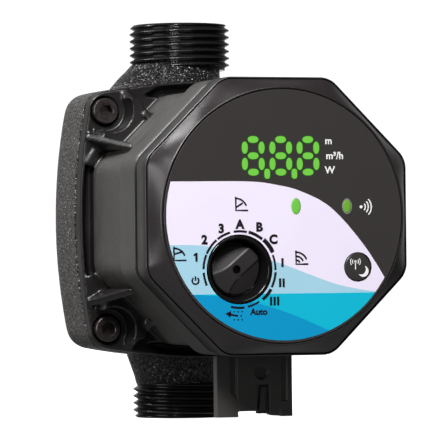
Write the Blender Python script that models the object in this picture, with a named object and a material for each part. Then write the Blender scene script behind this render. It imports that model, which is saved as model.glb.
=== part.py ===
"""Circulator pump for heating systems: wet rotor, 130 mm between its two G1 threaded ports.

Frame: the origin is where the port axis (Z) crosses the shaft axis (Y). The display faces -Y,
the outlet is up (+Z) and the inlet is down (-Z). Every number below is in millimetres.
"""

import math

import bmesh
import bpy
from mathutils import Matrix, Vector

MM = 0.001
GAP = 0.3            # clearance between pieces that rest on each other
RUNNING = 0.05       # radial clearance of a shaft in its bearing

# Ports
PORT_HALF = 65.0     # port face from the origin: 130 mm face to face
THREAD_R = 16.62     # G1, 33.25 mm over the crests
THREAD_END_R = 15.4  # radius of the port face outside its chamfer
BORE_R = 10.0
TOP_THREAD_END = 50.6
BOTTOM_THREAD_END = 53.6

# Cast casing
SIDE_HALF = 45.2     # half the casing's width at the middle of a side
SIDE_ARC_R = 190.0   # its sides are slightly convex
CORNER_R = 6.6
CASING_FRONT = -24.85
CASING_BAND = -12.0  # the straight rim ends here and the rounded back begins
CASING_BACK = 24.0
CHAMBER_R = 34.8
CHAMBER_FLOOR = -6.0
SEAT_R = 37.3
SEAT_Y = -19.5
SCREW_X = 36.4
SCREW_Z = 35.0
HEAD_SEAT = -27.6    # floor of the counterbores for the screw heads
GUARD_R = 7.0        # hollow side of the raised wall behind each screw

# Motor housing
FLANGE_REAR = -25.15
FLANGE_FRONT = -31.0
BODY_HALF = 40.4     # half across the flats of the octagonal body
COLLAR_REAR = -65.3
COLLAR_FRONT = -79.7
COLLAR_HALF = 43.0
STATOR_BORE = 36.6
PARTITION = 2.2

# Control head
FRAME_REAR = -82.6
FRAME_FRONT = -91.0
FRAME_HALF = 43.18
COVER_HALF = 42.5
COVER_REAR = -87.9
COVER_EDGE = -91.3
COVER_TOP = -96.5
COVER_WALL = 3.0
LABEL_R = 39.1
LABEL_FRONT = -96.7
LABEL_THICK = 0.5
LABEL_SEAT_R = 39.45
BOARD_FRONT = -82.6
BOARD_THICK = 1.6

# Dial, button and lights, as (x, z) on the label
KNOB = (-14.74, -16.33)
KNOB_R = 10.8
KNOB_WELL_R = 11.6
KNOB_REST_TURN = 50.0   # clock angle of the pointer in degrees, clockwise from the top
BUTTON = (24.32, -15.94)
BUTTON_R = 4.5
STATUS_LIGHT = (4.02, 3.12)
STATUS_SIZE = (1.5, 2.45)
WIRELESS_LIGHT = (20.89, 3.06)
WIRELESS_SIZE = (1.35, 2.1)

# Rotor
SHAFT_R = 4.0
CAN_R = 20.4
CAN_WALL = 0.6
CAN_END = -66.0
MAGNET_R = 18.8
IMPELLER_R = 25.0
IMPELLER_EYE_R = 11.4
BLADES = 6
SLOTS = 6

# Plug socket below the motor housing
SOCKET_FRONT = -69.0
SOCKET_BACK = -57.0
SOCKET_HALF = 12.65
SOCKET_BACK_HALF = 8.2
SOCKET_TOP = -43.4
SOCKET_BOTTOM = -62.8
SOCKET_WALL = 2.0
PIN_Y = -59.9
PIN_R = 0.8


def clear_scene():
    for obj in list(bpy.data.objects):
        bpy.data.objects.remove(obj, do_unlink=True)


def make_material(name, colour, roughness, metallic=0.0):
    material = bpy.data.materials.new(name)
    material.use_nodes = True
    shader = material.node_tree.nodes["Principled BSDF"]
    shader.inputs["Base Color"].default_value = (*colour, 1.0)
    shader.inputs["Roughness"].default_value = roughness
    shader.inputs["Metallic"].default_value = metallic
    return material


def finish_mesh(name, bm, material, at=(0.0, 0.0, 0.0)):
    """An object from bmesh geometry in millimetres, with its origin at the given place."""
    bmesh.ops.remove_doubles(bm, verts=bm.verts, dist=1e-5)
    bmesh.ops.recalc_face_normals(bm, faces=bm.faces)
    bmesh.ops.scale(bm, vec=(MM, MM, MM), verts=bm.verts)
    mesh = bpy.data.meshes.new(name)
    bm.to_mesh(mesh)
    bm.free()
    mesh.materials.append(material)
    mesh.shade_smooth()
    mesh.set_sharp_from_angle(angle=math.radians(35))
    obj = bpy.data.objects.new(name, mesh)
    obj.location = Vector(at) * MM
    bpy.context.scene.collection.objects.link(obj)
    return obj


def add_loft(bm, rings):
    """Closes a stack of equal rings of points into one solid."""
    loops = [[bm.verts.new(p) for p in ring] for ring in rings]
    count = len(loops[0])
    for lower, upper in zip(loops, loops[1:]):
        for i in range(count):
            j = (i + 1) % count
            bm.faces.new((lower[i], lower[j], upper[j], upper[i]))
    bm.faces.new(loops[0])
    bm.faces.new(list(reversed(loops[-1])))


def loft(name, rings, material):
    bm = bmesh.new()
    add_loft(bm, rings)
    return finish_mesh(name, bm, material)


def at_y(outline, y):
    return [(x, y, z) for x, z in outline]


def at_z(outline, z):
    return [(x, y, z) for x, y in outline]


def add_prism(bm, outline, y0, y1):
    add_loft(bm, [at_y(outline, y0), at_y(outline, y1)])


def prism(name, outline, y0, y1, material, at=(0.0, 0.0, 0.0)):
    bm = bmesh.new()
    add_prism(bm, outline, y0, y1)
    return finish_mesh(name, bm, material, at)


def ring_of_loops(name, loops, material):
    """A closed ring through outlines of equal length: each is bridged to the next, the last to the first."""
    bm = bmesh.new()
    rings = [[bm.verts.new(p) for p in loop] for loop in loops]
    count = len(rings[0])
    for first, second in zip(rings, rings[1:] + rings[:1]):
        for i in range(count):
            j = (i + 1) % count
            bm.faces.new((first[i], first[j], second[j], second[i]))
    return finish_mesh(name, bm, material)


def framed_prism(name, outer, inner, y0, y1, material):
    """A prism with one hole through it; both outlines have the same number of points."""
    loops = [at_y(outer, y0), at_y(outer, y1), at_y(inner, y1), at_y(inner, y0)]
    return ring_of_loops(name, loops, material)


def add_turned(bm, profile, steps, axis="Y", centre=(0.0, 0.0, 0.0)):
    """Turns (radius, height) points about an axis. A closed ring, or a profile ending on the axis."""
    on_axis = profile[0][0] == 0 and profile[-1][0] == 0
    along = {"Y": lambda r, h: (r, h, 0.0), "Z": lambda r, h: (r, 0.0, h)}[axis]
    verts = [bm.verts.new(Vector(centre) + Vector(along(r, h))) for r, h in profile]
    edges = [bm.edges.new(pair) for pair in zip(verts, verts[1:])]
    if not on_axis:
        edges.append(bm.edges.new((verts[-1], verts[0])))
    direction = (0, 1, 0) if axis == "Y" else (0, 0, 1)
    bmesh.ops.spin(
        bm, geom=verts + edges, cent=centre, axis=direction, angle=math.tau, steps=steps, use_merge=True
    )


def turned(name, profile, material, steps=48, axis="Y", at=(0.0, 0.0, 0.0)):
    bm = bmesh.new()
    add_turned(bm, profile, steps, axis)
    return finish_mesh(name, bm, material, at)


def tube(r_in, r_out, h0, h1):
    return [(r_in, h0), (r_out, h0), (r_out, h1), (r_in, h1)]


def rod(r, h0, h1):
    return [(0.0, h0), (r, h0), (r, h1), (0.0, h1)]


def add_box(bm, low, high):
    outline = [(low[0], low[2]), (high[0], low[2]), (high[0], high[2]), (low[0], high[2])]
    add_prism(bm, outline, low[1], high[1])


def box(name, low, high, material):
    bm = bmesh.new()
    add_box(bm, low, high)
    return finish_mesh(name, bm, material)


def as_helper(obj):
    """A cutter or a joined shape: it has no solid of its own in the assembly."""
    obj.hide_render = True
    obj.display_type = "WIRE"
    return obj


def apply_boolean(target, other, operation):
    modifier = target.modifiers.new(f"{operation.lower()}_{other.name}", "BOOLEAN")
    modifier.operation = operation
    modifier.object = as_helper(other)


def cut(target, *cutters):
    for cutter in cutters:
        apply_boolean(target, cutter, "DIFFERENCE")


def join(target, *others):
    for other in others:
        apply_boolean(target, other, "UNION")


def arc(centre, radius, start, end, count):
    """Points on an arc, in degrees."""
    points = []
    for i in range(count + 1):
        a = math.radians(start + (end - start) * i / count)
        points.append((centre[0] + radius * math.cos(a), centre[1] + radius * math.sin(a)))
    return points


def circle(radius, count, centre=(0.0, 0.0), turn=0.0):
    return arc(centre, radius, turn, turn + 360.0 * (count - 1) / count, count - 1)


def ellipse(size, count, centre):
    return [
        (
            centre[0] + size[0] * math.cos(math.tau * i / count),
            centre[1] + size[1] * math.sin(math.tau * i / count),
        )
        for i in range(count)
    ]


def octagon(half, corner_r=7.5, per_corner=4):
    """A regular octagon with rounded corners and flats facing +-X, +-Z and the diagonals."""
    reach = (half - corner_r) / math.cos(math.radians(22.5))
    points = []
    for k in range(8):
        angle = 22.5 + 45.0 * k
        centre = (reach * math.cos(math.radians(angle)), reach * math.sin(math.radians(angle)))
        points += arc(centre, corner_r, angle - 22.5, angle + 22.5, per_corner)
    return points


def bulged_square(half, per_side=6, per_corner=6):
    """A rounded square whose sides are arcs of a large radius."""
    back = SIDE_ARC_R - half
    reach = SIDE_ARC_R - CORNER_R
    corner = (-back + math.sqrt(2 * reach**2 - back**2)) / 2
    swing = math.degrees(math.atan2(corner, corner + back))
    quarter = arc((-back, 0.0), SIDE_ARC_R, -swing, swing, per_side)[:-1]
    quarter += arc((corner, corner), CORNER_R, swing, 90.0 - swing, per_corner)[:-1]
    points = []
    for k in range(4):
        turn = Matrix.Rotation(math.radians(90.0 * k), 2)
        points += [tuple(turn @ Vector(p)) for p in quarter]
    return points


def screw_places():
    return [(sx * SCREW_X, sz * SCREW_Z) for sx in (-1, 1) for sz in (-1, 1)]


def build_casing(materials):
    """Cast volute with both ports, the suction elbow, the impeller chamber and the screw holes."""
    outline = bulged_square(SIDE_HALF)
    depth = CASING_BACK + GAP - CASING_BAND
    stations = [CASING_FRONT, CASING_BAND, -4.0, 4.0, 11.0, 17.0, 21.0, CASING_BACK - 1.0]
    rings = []
    for y in stations:
        reach = max(0.0, y - CASING_BAND) / depth
        size = math.sqrt(1.0 - reach**2)
        rings.append(at_y([(x * size, z * size) for x, z in outline], y))
    casing = loft("pump_housing", rings, materials["cast_iron"])

    inlet_neck = [
        (0.0, -PORT_HALF),
        (THREAD_END_R, -PORT_HALF),
        (THREAD_R, -PORT_HALF + 1.2),
        (THREAD_R, -BOTTOM_THREAD_END),
        (15.5, -BOTTOM_THREAD_END + 0.8),
        (16.0, -51.0),
        (18.8, -43.8),
        (20.0, -38.0),
        (20.0, 10.0),
        (0.0, 10.0),
    ]
    outlet_thread = [
        (0.0, 20.0),
        (15.0, 20.0),
        (15.0, TOP_THREAD_END - 0.6),
        (THREAD_R, TOP_THREAD_END),
        (THREAD_R, PORT_HALF - 1.2),
        (THREAD_END_R, PORT_HALF),
        (0.0, PORT_HALF),
    ]
    neck_end = TOP_THREAD_END - GAP
    outlet_neck = [(0.0, 5.0), (21.0, 5.0), (21.0, 40.0), (15.9, neck_end), (0.0, neck_end)]
    join(
        casing,
        turned("inlet_neck_shape", inlet_neck, materials["cast_iron"], 40, "Z"),
        turned("outlet_neck_shape", outlet_neck, materials["cast_iron"], 32, "Z", at=(-2.7, 0.0, 0.0)),
        turned("outlet_thread_shape", outlet_thread, materials["cast_iron"], 40, "Z"),
    )

    inlet_bore = [(0.0, -PORT_HALF - 1.0), (BORE_R, -PORT_HALF - 1.0), (BORE_R, 0.0)]
    inlet_bore += [(y, z) for y, z in arc((0.0, 0.0), BORE_R, 0.0, 90.0, 6)][1:-1] + [(0.0, BORE_R)]
    beyond = PORT_HALF + 1.0
    outlet_bore = [(0.0, 21.0), (6.0, 21.0), (BORE_R, 25.0), (BORE_R, beyond), (0.0, beyond)]
    chamber = [
        (0.0, 1.0),
        (BORE_R - 0.4, 1.0),
        (BORE_R - 0.4, CHAMBER_FLOOR + 1.0),
        (12.2, CHAMBER_FLOOR + 1.0),
        (12.2, CHAMBER_FLOOR),
        (CHAMBER_R, CHAMBER_FLOOR),
        (CHAMBER_R, SEAT_Y),
        (SEAT_R, SEAT_Y),
        (SEAT_R, CASING_FRONT - 1.0),
        (0.0, CASING_FRONT - 1.0),
    ]
    holes = bmesh.new()
    for x, z in screw_places():
        add_turned(holes, rod(2.65, -13.5, CASING_FRONT - 1.0), 16, centre=(x, 0.0, z))
    cut(
        casing,
        turned("inlet_bore_cut", inlet_bore, materials["cast_iron"], 28, "Z"),
        turned("outlet_bore_cut", outlet_bore, materials["cast_iron"], 28, "Z"),
        turned("chamber_cut", chamber, materials["cast_iron"], 40),
        finish_mesh("casing_screw_cut", holes, materials["cast_iron"]),
    )


def rib_outline(start, end, thick):
    """A straight rib seen from the front, as a rectangle from start to end."""
    along = (Vector(end) - Vector(start)).normalized()
    side = Vector((-along.y, along.x)) * thick / 2
    return [tuple(Vector(p) + s * side) for p, s in ((start, 1), (start, -1), (end, -1), (end, 1))]


def add_rib(bm, start, end, rise, thick, mirror):
    """A web that stands on the flange and climbs from its outer end to the body."""
    low = rib_outline(start, end, thick)
    high_y = (FLANGE_FRONT - 0.3, FLANGE_FRONT - 0.3, rise, rise)
    place = [(mirror[0] * x, mirror[1] * z) for x, z in low]
    bottom = at_y(place, FLANGE_FRONT + 2.0)
    top = [(x, y, z) for (x, z), y in zip(place, high_y)]
    add_loft(bm, [bottom, top])


def guard_outline(x, z):
    """A crescent on the inner side of a screw, hollow towards the screw."""
    inward = math.degrees(math.atan2(-z, -x))
    hollow = arc((x, z), GUARD_R, inward - 80.0, inward + 80.0, 10)
    back = arc((x, z), GUARD_R + 3.7, inward + 60.0, inward - 60.0, 6)
    return hollow + back


def build_motor_housing(materials):
    """Aluminium die casting: flange, octagonal body, wider collar, and webs round the screws."""
    housing = prism(
        "motor_housing", octagon(BODY_HALF), FLANGE_FRONT + 3.0, COLLAR_REAR - 1.0, materials["aluminium"]
    )
    collar = prism("collar_shape", octagon(COLLAR_HALF), COLLAR_REAR, COLLAR_FRONT, materials["aluminium"])
    flange_outline = bulged_square(SIDE_HALF - 0.3)
    flange = prism("flange_shape", flange_outline, FLANGE_REAR, FLANGE_FRONT, materials["aluminium"])
    spigot = turned("spigot_shape", rod(SEAT_R - GAP, -23.4, FLANGE_REAR - 1.0), materials["aluminium"], 40)
    webs = bmesh.new()
    for sx in (-1, 1):
        for sz in (-1, 1):
            add_rib(webs, (42.4, 27.0), (36.0, 22.8), -58.0, 2.4, (sx, sz))
            add_rib(webs, (29.8, 41.4), (23.6, 31.0), -44.0, 2.4, (sx, sz))
    webs = finish_mesh("web_shape", webs, materials["aluminium"])
    guards = bmesh.new()
    for x, z in screw_places():
        add_prism(guards, guard_outline(x, z), FLANGE_FRONT + 1.0, -39.5)
    guards = finish_mesh("screw_guard_shape", guards, materials["aluminium"])
    join(housing, collar, flange, guards, webs, spigot)

    bolt_holes = bmesh.new()
    bolt_hole = [
        (0.0, FLANGE_REAR + 1.0),
        (2.75, FLANGE_REAR + 1.0),
        (2.75, HEAD_SEAT),
        (4.7, HEAD_SEAT),
        (4.7, FLANGE_FRONT - 1.0),
        (0.0, FLANGE_FRONT - 1.0),
    ]
    for x, z in screw_places():
        add_turned(bolt_holes, bolt_hole, 20, centre=(x, 0.0, z))
    bore = [
        (0.0, -22.0),
        (35.0, -22.0),
        (35.0, -33.0),
        (STATOR_BORE, -33.0),
        (STATOR_BORE, COLLAR_REAR + 1.0),
        (21.6, COLLAR_REAR + 1.0),
        (21.6, COLLAR_REAR - 3.0),
        (0.0, COLLAR_REAR - 3.0),
    ]
    cut(
        housing,
        finish_mesh("bolt_hole_cut", bolt_holes, materials["aluminium"]),
        turned("stator_bore_cut", bore, materials["aluminium"], 40),
        prism(
            "electronics_cut",
            octagon(COLLAR_HALF - 2.8, 5.0, 2),
            COLLAR_REAR + 1.0 - PARTITION,
            COLLAR_FRONT - 1.0,
            materials["aluminium"],
        ),
        box("cable_cut", (-5.0, -63.6, -50.0), (5.0, -58.6, -30.0), materials["aluminium"]),
    )


def build_screws(materials):
    """Four M5 socket head cap screws that clamp the motor housing to the casing."""
    head_y, tip_y, top_y = HEAD_SEAT - GAP, -14.5, -32.6
    profile = [
        (0.0, tip_y),
        (1.9, tip_y),
        (2.35, tip_y - 0.6),
        (2.35, head_y),
        (4.25, head_y),
        (4.25, top_y + 0.5),
        (3.8, top_y),
        (0.0, top_y),
    ]
    for i, (x, z) in enumerate(screw_places(), 1):
        screw = turned(f"housing_screw_{i}", profile, materials["steel"], 20, at=(x, 0.0, z))
        hexagon = circle(2.0 / math.cos(math.radians(30)), 6, turn=15.0)
        floor, outside = top_y + 2.5, top_y - 1.0
        cut(screw, prism(f"hex_socket_cut_{i}", hexagon, floor, outside, materials["steel"], at=(x, 0.0, z)))


def build_hydraulics(materials):
    """What the water sees: wear ring, seal, bearing plate and the rotor can."""
    turned("wear_ring", tube(12.0, 15.0, CHAMBER_FLOOR - GAP, CHAMBER_FLOOR - 3.3), materials["steel"], 28)
    ring = circle(0.95, 8, centre=(36.1, -20.8))
    turned("casing_o_ring", ring, materials["rubber"], 32)
    plate = turned(
        "bearing_plate",
        [
            (7.0, -18.0),
            (9.2, -18.0),
            (9.2, -19.2),
            (34.3, -19.2),
            (34.3, -21.6),
            (9.2, -21.6),
            (9.2, -27.0),
            (7.0, -27.0),
        ],
        materials["steel"],
        32,
    )
    vents = bmesh.new()
    for x, z in circle(14.0, 4, turn=45.0):
        add_turned(vents, rod(1.6, -18.0, -23.0), 12, centre=(x, 0.0, z))
    cut(plate, finish_mesh("vent_cut", vents, materials["steel"]))
    inner = CAN_R - CAN_WALL
    can = [
        (0.0, CAN_END + CAN_WALL),
        (inner, CAN_END + CAN_WALL),
        (inner, -22.0),
        (SEAT_R - GAP, -22.0),
        (SEAT_R - GAP, -23.1),
        (CAN_R, -23.1),
        (CAN_R, CAN_END),
        (0.0, CAN_END),
    ]
    turned("rotor_can", can, materials["steel"], 36)
    bush_r = SHAFT_R + RUNNING
    turned("front_bearing", tube(bush_r, 6.7, -18.4, -26.8), materials["graphite"], 24)
    turned("rear_bearing", tube(bush_r, 6.7, -59.6, -64.6), materials["graphite"], 24)
    turned("rear_bearing_holder", tube(7.0, inner - GAP, -60.2, -63.4), materials["steel"], 28)


def blade_outline(turn):
    """A backward-curved blade between the eye and the rim."""
    inner_side = []
    outer_side = []
    steps = 7
    for i in range(steps + 1):
        share = i / steps
        r = IMPELLER_EYE_R + (IMPELLER_R - 0.6 - IMPELLER_EYE_R) * share
        a = turn + math.radians(62.0) * share
        half = 0.7 / r
        inner_side.append((r * math.cos(a - half), r * math.sin(a - half)))
        outer_side.append((r * math.cos(a + half), r * math.sin(a + half)))
    return inner_side + outer_side[::-1]


def build_rotor(materials):
    """Everything that turns with the shaft."""
    front = turned(
        "impeller",
        [
            (4.3, -11.0),
            (7.0, -11.0),
            (7.0, -15.6),
            (IMPELLER_R, -15.6),
            (IMPELLER_R, -17.2),
            (4.3, -17.2),
        ],
        materials["glass_polymer"],
        32,
    )
    shroud = [
        (IMPELLER_EYE_R - 1.4, -6.9),
        (IMPELLER_EYE_R, -6.9),
        (IMPELLER_EYE_R, -9.8),
        (IMPELLER_R, -10.6),
        (IMPELLER_R, -12.0),
        (IMPELLER_EYE_R - 1.4, -11.4),
    ]
    blades = bmesh.new()
    for k in range(BLADES):
        add_prism(blades, blade_outline(math.tau * k / BLADES), -11.2, -16.0)
    join(
        front,
        finish_mesh("blade_shape", blades, materials["glass_polymer"]),
        turned("shroud_shape", shroud, materials["glass_polymer"], 32),
    )
    shaft = [(0.0, -9.0), (3.4, -9.0), (SHAFT_R, -9.6), (SHAFT_R, -64.0), (3.4, -64.6), (0.0, -64.6)]
    turned("rotor_shaft", shaft, materials["ceramic"], 24)
    turned("thrust_washer", tube(SHAFT_R + GAP, 8.4, -27.6, -29.4), materials["graphite"], 24)
    turned("rotor_magnet", tube(SHAFT_R + GAP, MAGNET_R, -29.8, -58.6), materials["magnet"], 32)


def build_stator(materials):
    """Laminated ring with six poles, and one coil on each pole."""
    yoke_r, pole_r = 30.5, 21.0
    per_slot = 12
    inner = []
    outer = []
    for i in range(SLOTS * per_slot):
        a = math.tau * (i + 0.5) / (SLOTS * per_slot)
        on_pole = i % per_slot < 4 or i % per_slot == per_slot - 1
        r = pole_r if on_pole else yoke_r
        inner.append((r * math.cos(a), r * math.sin(a)))
        outer.append(((STATOR_BORE - GAP) * math.cos(a), (STATOR_BORE - GAP) * math.sin(a)))
    framed_prism("stator_core", outer, inner, -35.5, -56.5, materials["lamination"])
    middle = math.tau * 1.5 / (SLOTS * per_slot)
    for k in range(SLOTS):
        turn = Matrix.Rotation(-(middle + math.tau * k / SLOTS), 4, "Y")
        bm = bmesh.new()
        outline = [(22.4, 6.9), (28.7, 9.1), (28.7, -9.1), (22.4, -6.9)]
        hole = [(21.4, 4.5), (30.2, 8.6), (30.2, -8.6), (21.4, -4.5)]
        add_prism(bm, outline, -33.6, -58.4)
        bmesh.ops.transform(bm, matrix=turn, verts=bm.verts)
        coil = finish_mesh(f"stator_coil_{k + 1}", bm, materials["copper"])
        bm = bmesh.new()
        add_prism(bm, hole, -35.1, -56.9)
        bmesh.ops.transform(bm, matrix=turn, verts=bm.verts)
        cut(coil, finish_mesh(f"pole_cut_{k + 1}", bm, materials["copper"]))


def build_control_head(materials):
    """Gasket, grey frame, dark bezel cover and the label."""
    framed_prism(
        "cover_gasket",
        octagon(COLLAR_HALF - 1.2, 7.0, 2),
        octagon(COLLAR_HALF - 4.6, 5.0, 2),
        COLLAR_FRONT - 0.2,
        FRAME_REAR + GAP,
        materials["rubber"],
    )
    outer = octagon(FRAME_HALF)
    rebate = octagon(COVER_HALF + GAP)
    inner = octagon(FRAME_HALF - 2.9, 6.0)
    steps = (
        (outer, FRAME_REAR),
        (outer, FRAME_FRONT),
        (rebate, FRAME_FRONT),
        (rebate, COVER_REAR + GAP),
        (inner, COVER_REAR + GAP),
        (inner, FRAME_REAR),
    )
    loops = [at_y(outline, y) for outline, y in steps]
    ring_of_loops("control_frame", loops, materials["aluminium_smooth"])
    per_corner = 7
    count = 8 * (per_corner + 1)
    edge = octagon(COVER_HALF, 7.5, per_corner)
    round_edge = [
        ((LABEL_SEAT_R + 0.55) * math.cos(a), (LABEL_SEAT_R + 0.55) * math.sin(a))
        for a in (math.atan2(z, x) for x, z in edge)
    ]
    cover = loft(
        "front_cover",
        [at_y(edge, COVER_REAR), at_y(edge, COVER_EDGE), at_y(round_edge, COVER_TOP + 0.15)],
        materials["dark_polymer"],
    )
    seat_floor = LABEL_FRONT + LABEL_THICK + GAP
    inside = COVER_TOP + COVER_WALL
    label_seat = turned(
        "label_seat_cut", rod(LABEL_SEAT_R, COVER_TOP - 2.0, seat_floor), materials["dark_polymer"], count
    )
    hollow = turned("cover_hollow_cut", rod(37.6, -86.0, inside), materials["dark_polymer"], 40)
    well_wall = turned(
        "dial_well_shape", rod(KNOB_WELL_R + 1.3, -88.4, inside - 1.0), materials["dark_polymer"], 32,
        at=(KNOB[0], 0.0, KNOB[1]),
    )
    well = turned(
        "dial_well_cut",
        [
            (0.0, -86.0),
            (4.2, -86.0),
            (4.2, -89.6),
            (KNOB_WELL_R, -89.6),
            (KNOB_WELL_R, COVER_TOP - 2.0),
            (0.0, COVER_TOP - 2.0),
        ],
        materials["dark_polymer"],
        32,
        at=(KNOB[0], 0.0, KNOB[1]),
    )
    windows = bmesh.new()
    add_turned(windows, rod(BUTTON_R + GAP, -90.0, -99.0), 28, centre=(BUTTON[0], 0.0, BUTTON[1]))
    for centre, size in ((STATUS_LIGHT, STATUS_SIZE), (WIRELESS_LIGHT, WIRELESS_SIZE)):
        add_prism(windows, ellipse((size[0] + GAP, size[1] + GAP), 20, centre), -90.0, -99.0)
    windows = finish_mesh("cover_window_cut", windows, materials["dark_polymer"])
    cut(cover, hollow)
    join(cover, well_wall)
    cut(cover, label_seat, well, windows)

    label = turned(
        "front_label", rod(LABEL_R, LABEL_FRONT + LABEL_THICK, LABEL_FRONT), materials["label"], count
    )
    label_windows = bmesh.new()
    add_turned(label_windows, rod(KNOB_WELL_R, -90.0, -99.0), 32, centre=(KNOB[0], 0.0, KNOB[1]))
    add_turned(label_windows, rod(BUTTON_R + GAP, -90.0, -99.0), 28, centre=(BUTTON[0], 0.0, BUTTON[1]))
    for centre, size in ((STATUS_LIGHT, STATUS_SIZE), (WIRELESS_LIGHT, WIRELESS_SIZE)):
        add_prism(label_windows, ellipse((size[0] + GAP, size[1] + GAP), 20, centre), -90.0, -99.0)
    cut(label, finish_mesh("label_window_cut", label_windows, materials["label"]))


def build_dial(materials):
    """Selector knob with a tapered grip in a scooped face, its spindle and the encoder."""
    at = (KNOB[0], 0.0, KNOB[1])
    rim, floor, back = LABEL_FRONT + 0.1, -93.2, -90.0
    profile = [
        (2.25, -87.9),
        (3.9, -87.9),
        (3.9, back),
        (KNOB_R, back),
        (KNOB_R, rim + 0.3),
        (KNOB_R - 0.3, rim),
        (KNOB_R - 1.0, rim),
        (7.7, floor),
        (2.25, floor),
    ]
    knob = turned("selector_knob", profile, materials["dark_polymer"], 40, at=at)
    grip = [(-9.0, -4.6), (-9.0, 4.6), (9.2, 1.75), (9.2, -1.75)]
    crest = [(-8.8, -3.4), (-8.8, 3.4), (8.9, 1.2), (8.9, -1.2)]
    turn = math.radians(90.0 - KNOB_REST_TURN)
    swing = Matrix.Rotation(turn, 2)
    grip = [tuple(swing @ Vector(p)) for p in grip]
    crest = [tuple(swing @ Vector(p)) for p in crest]
    rings = [at_y(grip, -92.0), at_y(crest, rim + 0.2)]
    bm = bmesh.new()
    add_loft(bm, rings)
    grip_shape = finish_mesh("grip_shape", bm, materials["dark_polymer"], at)
    centre_hole = turned(
        "centre_hole_cut",
        [(0.0, -86.0), (2.25, -86.0), (2.25, -92.6), (1.1, -92.6), (1.1, -99.0), (0.0, -99.0)],
        materials["dark_polymer"],
        20,
        at=at,
    )
    join(knob, grip_shape)
    cut(knob, centre_hole)
    turned("knob_spindle", rod(1.95, -84.0, -92.3), materials["steel"], 24, at=at)
    x, z = KNOB
    black = materials["black_part"]
    mounted = BOARD_FRONT - GAP
    encoder = box("encoder_body", (x - 6.0, -87.4, z - 6.0), (x + 6.0, mounted, z + 6.0), black)
    cut(encoder, turned("encoder_bore_cut", rod(1.95 + RUNNING, -83.7, -88.0), black, 24, at=at))


def build_button(materials):
    """Push button with a retaining rim behind the cover, and the switch it presses."""
    at = (BUTTON[0], 0.0, BUTTON[1])
    wall = COVER_TOP + COVER_WALL
    profile = [
        (0.0, -88.9),
        (1.6, -88.9),
        (1.6, wall + 1.3),
        (BUTTON_R + 1.3, wall + 1.3),
        (BUTTON_R + 1.3, wall + GAP),
        (BUTTON_R, wall + GAP),
        (BUTTON_R, LABEL_FRONT + 0.3),
        (BUTTON_R - 0.3, LABEL_FRONT),
        (0.0, LABEL_FRONT),
    ]
    turned("mode_button", profile, materials["dark_polymer"], 28, at=at)
    x, z = BUTTON
    black = materials["black_part"]
    switch = box("button_switch", (x - 3.0, -86.6, z - 3.0), (x + 3.0, BOARD_FRONT - GAP, z + 3.0), black)
    join(switch, turned("switch_plunger_shape", rod(1.5, -86.0, -88.1), black, 16, at=at))


def build_electronics(materials):
    """Control board behind the label, power board behind it, and the parts that stand on them."""
    board_r = 34.5
    board_rear = BOARD_FRONT + BOARD_THICK
    turned("control_board", rod(board_r, BOARD_FRONT, board_rear), materials["board"], 32)
    box("display_module", (-17.0, -92.6, 9.6), (16.0, BOARD_FRONT - GAP, 27.0), materials["black_part"])
    for name, centre, size in (
        ("status_light", STATUS_LIGHT, STATUS_SIZE),
        ("wireless_light", WIRELESS_LIGHT, WIRELESS_SIZE),
    ):
        prism(name, ellipse(size, 20, centre), -88.0, LABEL_FRONT, materials["light_guide"])
        x, z = centre
        mounted = BOARD_FRONT - GAP
        box(f"{name}_led", (x - 1.0, -84.4, z - 1.5), (x + 1.0, mounted, z + 1.5), materials["led"])
    power_front = -71.2
    turned("power_board", rod(board_r, power_front, power_front + BOARD_THICK), materials["board"], 32)
    for i, (x, z) in enumerate(((17.0, 15.0), (17.0, -2.0)), 1):
        profile = rod(6.2, power_front - GAP, power_front - 8.8)
        turned(f"filter_capacitor_{i}", profile, materials["black_part"], 24, at=(x, 0.0, z))
    choke = tube(4.0, 9.0, power_front - GAP, power_front - 7.5)
    turned("line_choke", choke, materials["copper"], 24, at=(-16.0, 0.0, 6.0))


def socket_outline(inset, back=SOCKET_BACK):
    """The socket from below: a front wall of full width, then sides that draw in towards the back."""
    step = SOCKET_FRONT + 3.2
    return [
        (-SOCKET_HALF + inset, SOCKET_FRONT + inset),
        (SOCKET_HALF - inset, SOCKET_FRONT + inset),
        (SOCKET_HALF - inset, step),
        (SOCKET_BACK_HALF - inset, back - inset),
        (-SOCKET_BACK_HALF + inset, back - inset),
        (-SOCKET_HALF + inset, step),
    ]


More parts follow.
